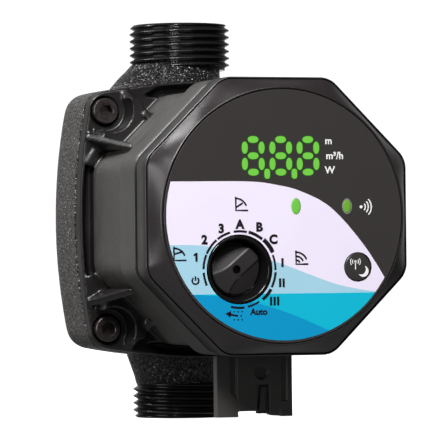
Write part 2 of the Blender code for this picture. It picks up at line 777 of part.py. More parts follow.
def build_socket(materials):
    """Keyed socket for the power plug, open at the bottom, with three contact pins."""
    bm = bmesh.new()
    add_loft(bm, [at_z(socket_outline(0.0), SOCKET_BOTTOM), at_z(socket_outline(0.0), SOCKET_TOP)])
    socket = finish_mesh("connector_socket", bm, materials["grey_polymer"])
    neck_low, neck_high = (-7.6, -64.6, SOCKET_TOP - 1.0), (7.6, -58.2, -40.7)
    neck = box("socket_neck_shape", neck_low, neck_high, materials["grey_polymer"])
    join(socket, neck)
    bm = bmesh.new()
    hollow = socket_outline(SOCKET_WALL)
    add_loft(bm, [at_z(hollow, SOCKET_BOTTOM - 1.0), at_z(hollow, SOCKET_TOP - 4.0)])
    hollow_cut = finish_mesh("socket_hollow_cut", bm, materials["grey_polymer"])
    stepped_edge = [
        (-5.6, -64.0),
        (8.8, -64.0),
        (8.8, -60.6),
        (7.9, -60.6),
        (7.9, -62.2),
        (4.6, -62.2),
        (4.6, -61.0),
        (-5.6, -61.0),
    ]
    grey = materials["grey_polymer"]
    front, behind = SOCKET_FRONT - 1.0, SOCKET_FRONT + 2.5
    cut(
        socket,
        hollow_cut,
        prism("socket_edge_cut", stepped_edge, front, behind, grey),
        turned("socket_dimple_cut", rod(2.25, SOCKET_FRONT + 1.2, front), grey, 20, at=(2.3, 0.0, -48.8)),
        box("latch_slot_cut", (0.9, front, -60.0), (4.4, behind, -52.4), grey),
    )
    tip, seated = -59.6, SOCKET_TOP - 4.3
    for i, x in enumerate((-4.0, 0.0, 4.0), 1):
        profile = [(0.0, tip), (PIN_R - 0.4, tip), (PIN_R, tip + 0.8), (PIN_R, seated), (0.0, seated)]
        turned(f"contact_pin_{i}", profile, materials["brass"], 16, "Z", at=(x, PIN_Y, 0.0))


def main():
    clear_scene()
    materials = {
        "cast_iron": make_material("cast_iron", (0.020, 0.018, 0.017), 0.55, 0.4),
        "aluminium": make_material("cast_aluminium_grey", (0.10, 0.095, 0.088), 0.45, 0.6),
        "aluminium_smooth": make_material("smooth_grey", (0.11, 0.105, 0.10), 0.35, 0.6),
        "dark_polymer": make_material("dark_polymer", (0.045, 0.040, 0.040), 0.42),
        "grey_polymer": make_material("grey_polymer", (0.060, 0.055, 0.052), 0.40),
        "glass_polymer": make_material("glass_filled_polymer", (0.16, 0.15, 0.13), 0.55),
        "label": make_material("label", (0.035, 0.032, 0.031), 0.30),
        "rubber": make_material("rubber", (0.012, 0.012, 0.012), 0.70),
        "steel": make_material("stainless_steel", (0.52, 0.51, 0.50), 0.28, 1.0),
        "graphite": make_material("graphite", (0.03, 0.03, 0.032), 0.50),
        "ceramic": make_material("ceramic", (0.78, 0.76, 0.70), 0.25),
        "magnet": make_material("encapsulated_magnet", (0.12, 0.12, 0.13), 0.35, 0.8),
        "lamination": make_material("lamination", (0.22, 0.23, 0.25), 0.45, 0.8),
        "copper": make_material("copper", (0.60, 0.24, 0.10), 0.30, 1.0),
        "brass": make_material("brass", (0.62, 0.45, 0.16), 0.25, 1.0),
        "board": make_material("board", (0.01, 0.10, 0.04), 0.50),
        "black_part": make_material("black_part", (0.02, 0.02, 0.02), 0.50),
        "light_guide": make_material("light_guide", (0.10, 0.60, 0.12), 0.20),
        "led": make_material("led", (0.60, 0.70, 0.60), 0.30),
    }
    build_casing(materials)
    build_motor_housing(materials)
    build_screws(materials)
    build_hydraulics(materials)
    build_rotor(materials)
    build_stator(materials)
    build_control_head(materials)
    build_dial(materials)
    build_button(materials)
    build_electronics(materials)
    build_socket(materials)


main()
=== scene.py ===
"""Circulator pump: its looks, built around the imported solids.

Lengths are in millimetres until finish_mesh() turns them into metres. The frame is the model's own:
the display faces -Y, the outlet is up (+Z), and the origin is where the port and shaft axes cross.
"""

import math

import bmesh
import bpy
import numpy as np
from mathutils import Matrix, Vector, noise


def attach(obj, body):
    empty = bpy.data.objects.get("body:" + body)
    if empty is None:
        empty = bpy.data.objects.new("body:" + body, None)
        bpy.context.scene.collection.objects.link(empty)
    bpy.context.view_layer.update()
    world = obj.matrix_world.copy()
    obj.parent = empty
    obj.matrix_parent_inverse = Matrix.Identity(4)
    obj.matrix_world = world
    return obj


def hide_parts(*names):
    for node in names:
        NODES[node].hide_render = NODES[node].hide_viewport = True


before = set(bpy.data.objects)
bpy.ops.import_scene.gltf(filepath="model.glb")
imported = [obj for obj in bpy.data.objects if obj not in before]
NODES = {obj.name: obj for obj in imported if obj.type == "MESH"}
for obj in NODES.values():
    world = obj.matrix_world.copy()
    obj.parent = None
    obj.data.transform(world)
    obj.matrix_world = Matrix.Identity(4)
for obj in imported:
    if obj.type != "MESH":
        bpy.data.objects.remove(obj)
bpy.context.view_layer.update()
MM = 0.001
WELD = 1e-7

# Casing
SIDE_HALF = 45.2
SIDE_ARC_R = 190.0
CORNER_R = 6.6
CASING_FRONT = -24.85
CASING_BAND = -7.5
CASING_BACK = 23.0
PORT_HALF = 65.0
BORE_R = 10.0
PITCH = 2.309
CREST_R = 16.62
ROOT_R = 15.14
THREAD_END_R = 15.4

# Motor housing and control head
FLANGE_FRONT = -31.0
BODY_HALF = 40.4
COLLAR_REAR = -65.3
COLLAR_FRONT = -79.7
SCREW_X = 36.4
SCREW_Z = 35.0
FRAME_REAR = -82.6
FRAME_FRONT = -91.0
FRAME_HALF = 43.18
COVER_HALF = 42.5
COVER_REAR = -87.9
COVER_EDGE = -91.3
LABEL_R = 39.1
INK_R = 38.35
LABEL_FRONT = -96.6
SEAT_R = 39.45
KNOB = (-14.74, -16.33)
KNOB_R = 10.45
WELL_R = 10.75
REST_TURN = 50.0
BUTTON = (24.32, -15.94)
BUTTON_R = 4.3
STATUS_LIGHT = (4.02, 2.95)
STATUS_SIZE = (1.5, 2.45)
WIRELESS_LIGHT = (20.89, 2.9)
WIRELESS_SIZE = (1.35, 2.1)

# Cuts right through the label run between these
THROUGH = (-90.0, -99.0)

# Plug socket
SOCKET_FRONT = -69.0
SOCKET_BACK = -57.0
SOCKET_HALF = 12.65
SOCKET_BACK_HALF = 8.2
SOCKET_TOP = -43.4
SOCKET_BOTTOM = -62.8

# Camera: angles in degrees, distance in metres
CAMERA_AZIMUTH = -19.8074
CAMERA_ELEVATION = -0.7123
CAMERA_ROLL = -0.5997
CAMERA_DISTANCE = 1.2
CAMERA_LENS_MM = 300.3


# ---------------------------------------------------------------- materials


class Nodes:
    """Short ways to add nodes to the tree of a material or of the surround."""

    def __init__(self, tree):
        self.tree = tree

    def node(self, kind, inputs=(), **settings):
        made = self.tree.nodes.new(kind)
        for key, value in settings.items():
            setattr(made, key, value)
        for key, value in dict(inputs).items():
            if isinstance(value, bpy.types.NodeSocket):
                self.tree.links.new(value, made.inputs[key])
            else:
                made.inputs[key].default_value = value
        return made

    def span(self, value, low, high, from_low=0.0, from_high=1.0, **settings):
        inputs = {"Value": value, "From Min": from_low, "From Max": from_high, "To Min": low, "To Max": high}
        return self.node("ShaderNodeMapRange", inputs, **settings).outputs["Result"]

    def maths(self, operation, first, second):
        return self.node("ShaderNodeMath", {0: first, 1: second}, operation=operation).outputs[0]

    def vector_maths(self, operation, first, second):
        return self.node("ShaderNodeVectorMath", {0: first, 1: second}, operation=operation).outputs[0]


class Shade(Nodes):
    """A Principled material. Vectors are object coordinates in metres."""

    def __init__(self, name, colour, roughness, metallic=0.0, **sockets):
        self.material = bpy.data.materials.new(name)
        self.material.use_nodes = True
        super().__init__(self.material.node_tree)
        self.shader = self.tree.nodes["Principled BSDF"]
        self.shader.inputs["Base Color"].default_value = (*colour, 1.0)
        self.shader.inputs["Roughness"].default_value = roughness
        self.shader.inputs["Metallic"].default_value = metallic
        for socket, value in sockets.items():
            self.shader.inputs[socket.replace("_", " ")].default_value = value
        self.coords = self.tree.nodes.new("ShaderNodeTexCoord").outputs["Object"]
        self.normal = None

    def stretched(self, factors):
        made = self.node("ShaderNodeMapping", {"Vector": self.coords, "Scale": factors})
        return made.outputs["Vector"]

    def noise(self, scale, detail=2.0, vector=None, roughness=0.5):
        inputs = {"Vector": vector or self.coords, "Scale": scale, "Detail": detail, "Roughness": roughness}
        return self.node("ShaderNodeTexNoise", inputs).outputs["Fac"]

    def blend(self, share, first, second):
        inputs = {"Factor": share}
        for index, value in ((6, first), (7, second)):
            inputs[index] = value if isinstance(value, bpy.types.NodeSocket) else (*value, 1.0)
        return self.node("ShaderNodeMix", inputs, data_type="RGBA").outputs[2]

    def bump(self, height, depth_mm, strength=1.0):
        inputs = {"Height": height, "Distance": depth_mm * MM, "Strength": strength}
        if self.normal:
            inputs["Normal"] = self.normal
        self.normal = self.node("ShaderNodeBump", inputs).outputs["Normal"]

    def flakes(self, scale, tilt):
        """Turns the surface of each small cell its own way, so that some cells catch the light."""
        cells = self.node("ShaderNodeTexVoronoi", {"Vector": self.coords, "Scale": scale}).outputs["Color"]
        centred = self.vector_maths("SUBTRACT", cells, (0.5, 0.5, 0.5))
        scaled = self.vector_maths("MULTIPLY", centred, tilt)
        base = self.normal or self.node("ShaderNodeNewGeometry").outputs["Normal"]
        summed = self.vector_maths("ADD", base, scaled)
        self.normal = self.node("ShaderNodeVectorMath", {0: summed}, operation="NORMALIZE").outputs[0]

    def drive(self, socket, value):
        self.tree.links.new(value, self.shader.inputs[socket])

    def done(self):
        if self.normal:
            self.drive("Normal", self.normal)
        return self.material


def tint_of(colour, factor):
    return tuple(min(1.0, c * factor) for c in colour)


def cast_iron():
    """Coated sand casting: even grain on the body, darker necks whose small facets sparkle."""
    made = Shade("coated_cast_iron", (0.03, 0.027, 0.026), 0.42, 0.0, Specular_IOR_Level=0.6)
    height = made.node("ShaderNodeSeparateXYZ", {"Vector": made.coords}).outputs["Z"]
    neck = made.span(made.maths("ABSOLUTE", height, 0.0), 0.0, 1.0, 0.0425, 0.0455)
    coarse = made.noise(420.0, 3.0)
    fine = made.noise(2400.0, 3.0, roughness=0.7)
    made.bump(coarse, 0.15, 0.5)
    made.bump(fine, 0.12, 0.8)
    made.flakes(3000.0, made.span(neck, 1.3, 1.9))
    body = made.blend(made.span(fine, 0.0, 1.0, 0.35, 0.65), (0.024, 0.022, 0.021), (0.07, 0.064, 0.061))
    made.drive("Base Color", made.blend(neck, body, (0.011, 0.01, 0.01)))
    polish = made.maths("MULTIPLY", neck, 0.1)
    made.drive("Roughness", made.maths("SUBTRACT", made.span(coarse, 0.28, 0.44, 0.3, 0.7), polish))
    return made.done()


def cut_thread():
    """Machined and painted: smooth, with faint lines round the axis."""
    made = Shade("thread_black", (0.01, 0.009, 0.009), 0.16, 0.0, Specular_IOR_Level=0.5)
    lines = made.noise(60.0, 3.0, made.stretched((1.0, 1.0, 60.0)))
    made.bump(lines, 0.03, 0.5)
    made.bump(made.noise(900.0, 2.0), 0.02, 0.4)
    made.drive("Roughness", made.span(lines, 0.13, 0.24, 0.3, 0.7))
    return made.done()


def die_cast():
    """Painted die casting with a fine grain."""
    made = Shade("die_cast_grey", (0.05, 0.047, 0.044), 0.48, 0.0, Specular_IOR_Level=0.7)
    grain = made.noise(1300.0, 3.0, roughness=0.65)
    broad = made.noise(160.0, 3.0)
    made.bump(grain, 0.1, 0.55)
    made.bump(broad, 0.25, 0.2)
    tint = made.span(grain, 0.0, 1.0, 0.3, 0.7)
    made.drive("Base Color", made.blend(tint, (0.04, 0.0375, 0.035), (0.064, 0.06, 0.056)))
    made.drive("Roughness", made.span(broad, 0.42, 0.56, 0.35, 0.65))
    return made.done()


def satin_cast(name="satin_grey", colour=(0.05, 0.048, 0.045), roughness=0.4):
    """Smoother painted metal of the collar and the frame."""
    made = Shade(name, colour, roughness, 0.0, Specular_IOR_Level=0.7)
    grain = made.noise(1900.0, 2.0)
    broad = made.noise(110.0, 3.0)
    made.bump(grain, 0.04, 0.35)
    made.drive("Roughness", made.span(broad, roughness - 0.05, roughness + 0.07, 0.35, 0.65))
    return made.done()


def moulded(name, colour, roughness, grain_mm=0.03, specular=0.5):
    """Moulded plastic with a fine spark-eroded texture."""
    made = Shade(name, colour, roughness, 0.0, Specular_IOR_Level=specular)
    grain = made.noise(2600.0, 2.0, roughness=0.6)
    broad = made.noise(90.0, 2.0)
    made.bump(grain, grain_mm, 0.5)
    made.drive("Base Color", made.blend(broad, tint_of(colour, 0.9), tint_of(colour, 1.1)))
    made.drive("Roughness", made.span(broad, roughness - 0.04, roughness + 0.05, 0.35, 0.65))
    return made.done()


def printed(name, colour, roughness=0.32):
    """Printing ink under a satin film."""
    made = Shade(name, colour, roughness, 0.0, Specular_IOR_Level=0.4)
    film = made.noise(1400.0, 2.0)
    made.bump(film, 0.012, 0.3)
    tint = made.noise(70.0, 2.0)
    made.drive("Base Color", made.blend(tint, tint_of(colour, 0.97), tint_of(colour, 1.03)))
    return made.done()


def glowing(name, colour, strength):
    """A lit window: its colour and surface vary a little with fine noise."""
    made = Shade(name, colour, 0.3, 0.0, Emission_Strength=strength)
    made.shader.inputs["Emission Color"].default_value = (*colour, 1.0)
    soft = made.noise(900.0, 2.0)
    made.bump(soft, 0.02, 0.3)
    share = made.span(soft, 0.0, 1.0, 0.3, 0.7)
    made.drive("Emission Color", made.blend(share, tint_of(colour, 0.93), colour))
    return made.done()


def brushed(name, colour, roughness, metallic=1.0, lines=(1.0, 1.0, 1.0)):
    """Bare metal with fine turning or rolling marks."""
    made = Shade(name, colour, roughness, metallic)
    marks = made.noise(700.0, 3.0, made.stretched(lines))
    made.bump(marks, 0.02, 0.4)
    made.drive("Roughness", made.span(marks, roughness - 0.07, roughness + 0.1, 0.3, 0.7))
    made.drive("Base Color", made.blend(marks, tint_of(colour, 0.88), colour))
    return made.done()


def banded(name, colour, roughness, metallic, wave, relief, dark, light):
    """Rows along Y: wire or laminations. wave is (scale, distortion) and relief (depth in mm, strength)."""
    made = Shade(name, colour, roughness, metallic)
    inputs = {"Vector": made.coords, "Scale": wave[0], "Distortion": wave[1]}
    rows = made.node("ShaderNodeTexWave", inputs, bands_direction="Y").outputs["Fac"]
    made.bump(rows, *relief)
    made.drive("Base Color", made.blend(rows, dark, light))
    return made.done()


def circuit_board():
    """Green solder mask with copper tracks showing through."""
    made = Shade("circuit_board", (0.01, 0.1, 0.04), 0.35)
    tracks = made.node("ShaderNodeTexVoronoi", {"Vector": made.coords, "Scale": 330.0}, distance="MANHATTAN")
    mask = made.span(tracks.outputs["Distance"], 0.0, 1.0, 0.42, 0.5)
    made.bump(mask, 0.03, 0.7)
    made.drive("Base Color", made.blend(mask, (0.008, 0.085, 0.035), (0.03, 0.19, 0.07)))
    return made.done()


MATERIALS = {
    "cast_iron": cast_iron(),
    "thread": cut_thread(),
    "die_cast": die_cast(),
    "satin": satin_cast(),
    "frame": satin_cast("frame_dark", (0.018, 0.017, 0.0165), 0.34),
    "cover": moulded("cover_dark", (0.02, 0.0165, 0.0175), 0.29, 0.03, 0.65),
    "label": printed("label_dark", (0.034, 0.031, 0.029), 0.34),
    "lavender": printed("ink_lavender", (0.78, 0.72, 0.86)),
    "light_blue": printed("ink_light_blue", (0.34, 0.58, 0.7)),
    "cyan": printed("ink_cyan", (0.004, 0.43, 0.6)),
    "blue": printed("ink_blue", (0.002, 0.27, 0.52)),
    "black_ink": printed("ink_black", (0.004, 0.003, 0.006), 0.45),
    "white_ink": printed("ink_white", (0.8, 0.79, 0.8)),
    "ring_grey": printed("ink_grey", (0.26, 0.25, 0.27)),
    "knob": moulded("knob_dark", (0.022, 0.019, 0.02), 0.42, 0.02, 0.4),
    "knob_rim": moulded("knob_rim_black", (0.004, 0.004, 0.004), 0.14, 0.004, 0.45),
    "socket": moulded("socket_dark", (0.058, 0.054, 0.052), 0.4, 0.05, 0.7),
    "digit": glowing("display_green", (0.12, 0.42, 0.045), 0.32),
    "digit_edge": printed("display_green_dark", (0.02, 0.12, 0.01)),
    "status_green": glowing("status_green", (0.12, 0.42, 0.05), 0.26),
    "wireless_green": glowing("wireless_green", (0.12, 0.29, 0.03), 0.23),
    # The flange's own glossy black, also used as painted shade on the housing's pockets, corner webs and
    # collar front.
    "flange": moulded("flange_black_and_painted_shade", (0.009, 0.008, 0.0078), 0.32, 0.02, 0.5),
    "screw": brushed("screw_black_oxide", (0.1, 0.085, 0.085), 0.3, 0.9),
    "rubber": moulded("black_rubber", (0.012, 0.012, 0.012), 0.7, 0.06, 0.3),
    "steel": brushed("stainless", (0.6, 0.59, 0.57), 0.24),
    "graphite": moulded("carbon_graphite", (0.03, 0.03, 0.033), 0.5, 0.03),
    "ceramic": moulded("polished_ceramic", (0.76, 0.74, 0.69), 0.2, 0.01),
    "magnet": moulded("magnet_case", (0.11, 0.11, 0.12), 0.36, 0.03),
    "impeller": moulded("glass_filled", (0.16, 0.15, 0.13), 0.5, 0.05),
    "stacked": banded(
        "stacked_steel", (0.22, 0.23, 0.25), 0.42, 0.8, (640.0, 0.1), (0.08, 0.8),
        (0.12, 0.125, 0.14), (0.26, 0.27, 0.29),
    ),
    "copper": banded(
        "wound_copper", (0.56, 0.2, 0.07), 0.3, 0.85, (520.0, 0.4), (0.25, 0.9),
        (0.3, 0.09, 0.03), (0.66, 0.26, 0.1),
    ),
    "contact": brushed("contact_brass", (0.72, 0.56, 0.27), 0.22, 1.0, (1.0, 1.0, 8.0)),
    "board": circuit_board(),
    "black_part": moulded("black_component", (0.018, 0.018, 0.018), 0.45, 0.03),
    "led": moulded("led_package", (0.62, 0.66, 0.6), 0.3, 0.01),
}


# ---------------------------------------------------------------- mesh helpers


def add_object(name, data):
    obj = bpy.data.objects.new(name, data)
    bpy.context.scene.collection.objects.link(obj)
    return obj


def finish_mesh(name, bm, material, sharp=30.0):
    """An object from bmesh geometry in millimetres, linked to the scene."""
    bmesh.ops.remove_doubles(bm, verts=bm.verts, dist=1e-5)
    bmesh.ops.recalc_face_normals(bm, faces=bm.faces)
    bmesh.ops.scale(bm, vec=(MM, MM, MM), verts=bm.verts)
    mesh = bpy.data.meshes.new(name)
    bm.to_mesh(mesh)
    bm.free()
    mesh.materials.append(MATERIALS[material])
    mesh.shade_smooth()
    mesh.set_sharp_from_angle(angle=math.radians(sharp))
    return add_object(name, mesh)


def add_loft(bm, rings, capped=True):
    loops = [[bm.verts.new(p) for p in ring] for ring in rings]
    count = len(loops[0])
    for lower, upper in zip(loops, loops[1:]):
        for i in range(count):
            j = (i + 1) % count
            bm.faces.new((lower[i], lower[j], upper[j], upper[i]))
    if capped:
        bm.faces.new(loops[0])
        bm.faces.new(list(reversed(loops[-1])))
    return loops


def add_closed_loft(bm, rings):
    """Bridges each ring to the next and the last to the first."""
    loops = add_loft(bm, rings, capped=False)
    count = len(loops[0])
    for i in range(count):
        j = (i + 1) % count
        bm.faces.new((loops[-1][i], loops[-1][j], loops[0][j], loops[0][i]))


def at_y(outline, y):
    return [(x, y, z) for x, z in outline]


def at_z(outline, z):
    return [(x, y, z) for x, y in outline]


def loft(name, rings, material="die_cast", sharp=30.0, bridge=add_loft):
    """A piece through rings of points, capped, or bridged to itself by add_closed_loft."""
    bm = bmesh.new()
    bridge(bm, rings)
    return finish_mesh(name, bm, material, sharp)


def prism(name, outline, y0, y1, material="die_cast"):
    return loft(name, [at_y(outline, y0), at_y(outline, y1)], material)


def add_turned(bm, profile, steps, axis="Y", centre=(0.0, 0.0, 0.0)):
    """Turns (radius, height) points about an axis; a profile with its ends on the axis is left open there."""
    on_axis = profile[0][0] == 0 and profile[-1][0] == 0
    along = {"Y": lambda r, h: (r, h, 0.0), "Z": lambda r, h: (r, 0.0, h)}[axis]
    verts = [bm.verts.new(Vector(centre) + Vector(along(r, h))) for r, h in profile]
    edges = [bm.edges.new(pair) for pair in zip(verts, verts[1:])]
    if not on_axis:
        edges.append(bm.edges.new((verts[-1], verts[0])))
    direction = (0, 1, 0) if axis == "Y" else (0, 0, 1)
    bmesh.ops.spin(
        bm, geom=verts + edges, cent=centre, axis=direction, angle=math.tau, steps=steps, use_merge=True
    )


def turned(name, profile, steps=96, axis="Y", at=(0.0, 0.0), material="die_cast"):
    """A turned piece. at is (x, z) for the Y axis and (x, y) for the Z axis."""
    bm = bmesh.new()
    centre = (at[0], 0.0, at[1]) if axis == "Y" else (at[0], at[1], 0.0)
    add_turned(bm, profile, steps, axis, centre)
    return finish_mesh(name, bm, material)


def rod(r, h0, h1):
    return [(0.0, h0), (r, h0), (r, h1), (0.0, h1)]


def box(name, low, high, material="die_cast"):
    outline = [(low[0], low[2]), (high[0], low[2]), (high[0], high[2]), (low[0], high[2])]
    return prism(name, outline, low[1], high[1], material)


def evaluated_mesh(obj):
    bpy.context.view_layer.update()
    graph = bpy.context.evaluated_depsgraph_get()
    return bpy.data.meshes.new_from_object(obj.evaluated_get(graph))


def bake(obj):
    """Turns the object's modifiers into its mesh."""
    mesh = evaluated_mesh(obj)
    old = obj.data
    obj.modifiers.clear()
    obj.data = mesh
    bpy.data.meshes.remove(old)
    return obj


def remove(*objs):
    for obj in objs:
        bpy.data.objects.remove(obj, do_unlink=True)


def boolean(obj, operation, *others):
    for other in others:
        modifier = obj.modifiers.new("shape", "BOOLEAN")
        modifier.operation = operation
        modifier.solver = "MANIFOLD"
        modifier.object = other
    bake(obj)
    remove(*others)
    return obj


def voxel(obj, size_mm):
    modifier = obj.modifiers.new("voxels", "REMESH")
    modifier.mode = "VOXEL"
    modifier.voxel_size = size_mm * MM
    modifier.use_smooth_shade = True
    return bake(obj)


def relax(obj, passes, factor=0.5):
    modifier = obj.modifiers.new("relax", "SMOOTH")
    modifier.factor = factor
    modifier.iterations = passes
    return bake(obj)


def roughen(obj, layers):
    """Moves the surface in and out by noise; each layer is (grain size, height) in millimetres."""
    outward = [vert.normal.copy() for vert in obj.data.vertices]
    for vert, normal in zip(obj.data.vertices, outward):
        lift = sum(noise.noise(vert.co / (MM * grain)) * height for grain, height in layers)
        vert.co += normal * lift * MM


def smooth_shaded(obj, sharp=None):
    obj.data.shade_smooth()
    if sharp:
        obj.data.set_sharp_from_angle(angle=math.radians(sharp))
    return obj


def copy_of(node, name, material):
    bm = bmesh.new()
    bm.from_mesh(NODES[node].data)
    bmesh.ops.remove_doubles(bm, verts=bm.verts, dist=WELD)
    mesh = bpy.data.meshes.new(name)
    bm.to_mesh(mesh)
    bm.free()
    mesh.materials.append(MATERIALS[material])
    return add_object(name, mesh)


def joined(name, *objs):
    """One object from several, in the order given. Its material slots follow theirs."""
    first = objs[0]
    with bpy.context.temp_override(
        active_object=first, object=first, selected_objects=list(objs), selected_editable_objects=list(objs)
    ):
        bpy.ops.object.join()
    first.name = name
    first.data.name = name
    return first


def place(obj, slot, *nodes, body="body"):
    """The piece rides on a body and stands for these CAD nodes, which it hides. slot is not used."""
    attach(obj, body)
    if nodes:
        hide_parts(*nodes)
    return obj


def arc(centre, radius, start, end, count):
    points = []
    for i in range(count + 1):
        a = math.radians(start + (end - start) * i / count)
        points.append((centre[0] + radius * math.cos(a), centre[1] + radius * math.sin(a)))
    return points


def circle(radius, count, centre=(0.0, 0.0), turn=0.0):
    return arc(centre, radius, turn, turn + 360.0 * (count - 1) / count, count - 1)


def ellipse(size, count, centre):
    turns = [math.tau * i / count for i in range(count)]
    return [(centre[0] + size[0] * math.cos(t), centre[1] + size[1] * math.sin(t)) for t in turns]


def octagon(half, corner_r=7.5, per_corner=12, per_flat=16):
    """A regular octagon with rounded corners and flats facing +-X, +-Z and the diagonals."""
    reach = (half - corner_r) / math.cos(math.radians(22.5))
    corners = []
    for k in range(8):
        angle = 22.5 + 45.0 * k
        centre = (reach * math.cos(math.radians(angle)), reach * math.sin(math.radians(angle)))
        corners.append(arc(centre, corner_r, angle - 22.5, angle + 22.5, per_corner))
    points = []
    for corner, following in zip(corners, corners[1:] + corners[:1]):
        start, end = Vector(corner[-1]), Vector(following[0])
        points += corner
        points += [tuple(start.lerp(end, i / per_flat)) for i in range(1, per_flat)]
    return points


def bulged_square(half, per_side=24, per_corner=10):
    """A rounded square whose sides are arcs of a large radius."""
    back = SIDE_ARC_R - half
    reach = SIDE_ARC_R - CORNER_R
    corner = (-back + math.sqrt(2 * reach**2 - back**2)) / 2
    swing = math.degrees(math.atan2(corner, corner + back))
    quarter = arc((-back, 0.0), SIDE_ARC_R, -swing, swing, per_side)[:-1]
    quarter += arc((corner, corner), CORNER_R, swing, 90.0 - swing, per_corner)[:-1]
    points = []
    for k in range(4):
        turn = Matrix.Rotation(math.radians(90.0 * k), 2)
        points += [tuple(turn @ Vector(p)) for p in quarter]
    return points


def clock(angle, radius, centre):
    """A point at a clock angle in degrees, clockwise from the top as the display is read."""
    a = math.radians(angle)
    return (centre[0] + radius * math.sin(a), centre[1] + radius * math.cos(a))


def screw_places():
    return [(sx * SCREW_X, sz * SCREW_Z) for sx in (-1, 1) for sz in (-1, 1)]


# ---------------------------------------------------------------- casing


def build_casing():
    """Rounded casting with blended necks, cut for the bores, the chamber and the screws."""
    bm = bmesh.new()
    outline = bulged_square(SIDE_HALF - 0.16)
    depth = CASING_BACK - CASING_BAND
    rings = [at_y(outline, CASING_FRONT - 3.0), at_y(outline, CASING_BAND)]
    steps = 30
    for i in range(1, steps + 1):
        a = math.radians(88.0) * i / steps
        size = math.cos(a)
        rings.append(at_y([(x * size, z * size) for x, z in outline], CASING_BAND + depth * math.sin(a)))
    add_loft(bm, rings)
    necks = (
        (
            (-7.0, 24.0, 20.0), (-6.6, 21.0, 20.0), (-5.3, 18.5, 18.6),
            (-3.9, 17.1, 17.0), (-2.15, 15.35, 15.4), (-1.0, 15.1, 15.1),
        ),
        (20.0, 38.0, 43.8, 47.1, 50.4, 52.2),
        (
            (0.0, 21.0, 20.0), (0.0, 20.0, 19.6), (0.0, 18.8, 18.6),
            (0.0, 17.4, 17.3), (0.0, 16.2, 16.2), (0.0, 15.4, 15.4),
        ),
        (-20.0, -38.0, -43.8, -47.8, -51.1, -54.8),
    )
    for sections, heights in (necks[:2], necks[2:]):
        rings = [at_z(ellipse((rx, ry), 96, (cx, 0.0)), z) for (cx, rx, ry), z in zip(sections, heights)]
        add_loft(bm, rings)
    casing = finish_mesh("pump_casing", bm, "cast_iron")
    voxel(casing, 0.75)
    relax(casing, 14)
    roughen(casing, ((2.2, 0.03), (0.9, 0.03)))
    front_plane = box("front_plane_cut", (-60.0, -40.0, -60.0), (60.0, CASING_FRONT, 60.0))
    chamber = [(0.0, -6.0), (34.8, -6.0), (34.8, -19.5), (37.3, -19.5), (37.3, -30.0), (0.0, -30.0)]
    outlet = [(0.0, 21.0), (6.0, 21.0), (BORE_R, 25.0), (BORE_R, 70.0), (0.0, 70.0)]
    cutters = [
        front_plane,
        turned("inlet_cut", [(0.0, -70.0), (BORE_R, -70.0), (BORE_R, 0.0), (0.0, 6.0)], 96, "Z"),
        turned("outlet_cut", outlet, 96, "Z"),
        turned("chamber_cut", chamber, 128),
    ]
    for i, at in enumerate(screw_places()):
        cutters.append(turned(f"screw_cut_{i}", rod(2.65, -13.5, -30.0), 32, at=at))
    boolean(casing, "DIFFERENCE", *cutters)
    smooth_shaded(casing, 40.0)
    threads = [thread_sleeve("outlet_thread", 1, 49.8), thread_sleeve("inlet_thread", -1, 53.0)]
    whole = joined("pump_casing", casing, *threads)
    place(whole, "cast_iron", "pump_housing")


def thread_radius(turn, z, side, start):
    """The G1 thread's surface: rounded crests and roots, a chamfered start and a run-out at the neck."""
    phase = (side * z / PITCH - side * turn / math.tau + 0.61) % 1.0
    ramp = abs(phase * 2.0 - 1.0)
    share = max(0.0, min(1.0, 0.5 + (ramp - 0.5) * 1.22))
    share = share * share * (3.0 - 2.0 * share) * 0.35 + share * 0.65
    radius = ROOT_R + (CREST_R - ROOT_R) * share
    radius = min(radius, THREAD_END_R + (PORT_HALF - z) * 1.1)
    fade = max(0.0, min(1.0, (z - start) / 1.6))
    return 15.0 + (radius - 15.0) * fade


def thread_sleeve(name, side, start):
    """A closed sleeve with the helical thread outside and the bore inside. side is 1 at the top, -1 below."""
    per_turn, row_height = 160, 0.13
    top = PORT_HALF - 0.02
    rows = int((top - start) / row_height)
    rings = []
    for k in range(rows + 1):
        z = start + (top - start) * k / rows
        ring = []
        for i in range(per_turn):
            turn = math.tau * i / per_turn
            r = thread_radius(turn, z, side, start)
            ring.append((r * math.cos(turn), r * math.sin(turn), side * z))
        rings.append(ring)
    for r, z in ((BORE_R + 0.5, top), (BORE_R, PORT_HALF - 0.5), (BORE_R, start)):
        rings.append(at_z(circle(r, per_turn), side * z))
    return loft(name, rings, "thread", 60.0, add_closed_loft)


# ---------------------------------------------------------------- motor housing


def pocket_ridge(sx, sz):
    """The rounded shoulder at one end of a pocket, from the flange edge to the octagonal body."""
    start, end = Vector((42.2, 17.6)), Vector((38.6, 22.8))
    across = (end - start).normalized()
    across = Vector((across.y, -across.x))
    section = [(2.4, 1.0), (2.4, 0.2), (1.3, -0.5), (0.1, -0.8), (-1.1, -0.5), (-2.2, 0.3), (-2.2, 1.0)]
    rings = []
    for share, size in ((0.0, 0.8), (0.5, 1.0), (1.0, 1.0)):
        centre = start.lerp(end, share)
        ring = []
        for outward, rise in section:
            px, pz = centre + across * outward * size
            ring.append((px, FLANGE_FRONT + rise * size, pz))
        rings.append([(x * sx, y, z * sz) for x, y, z in ring])
    return loft("pocket_ridge", rings)


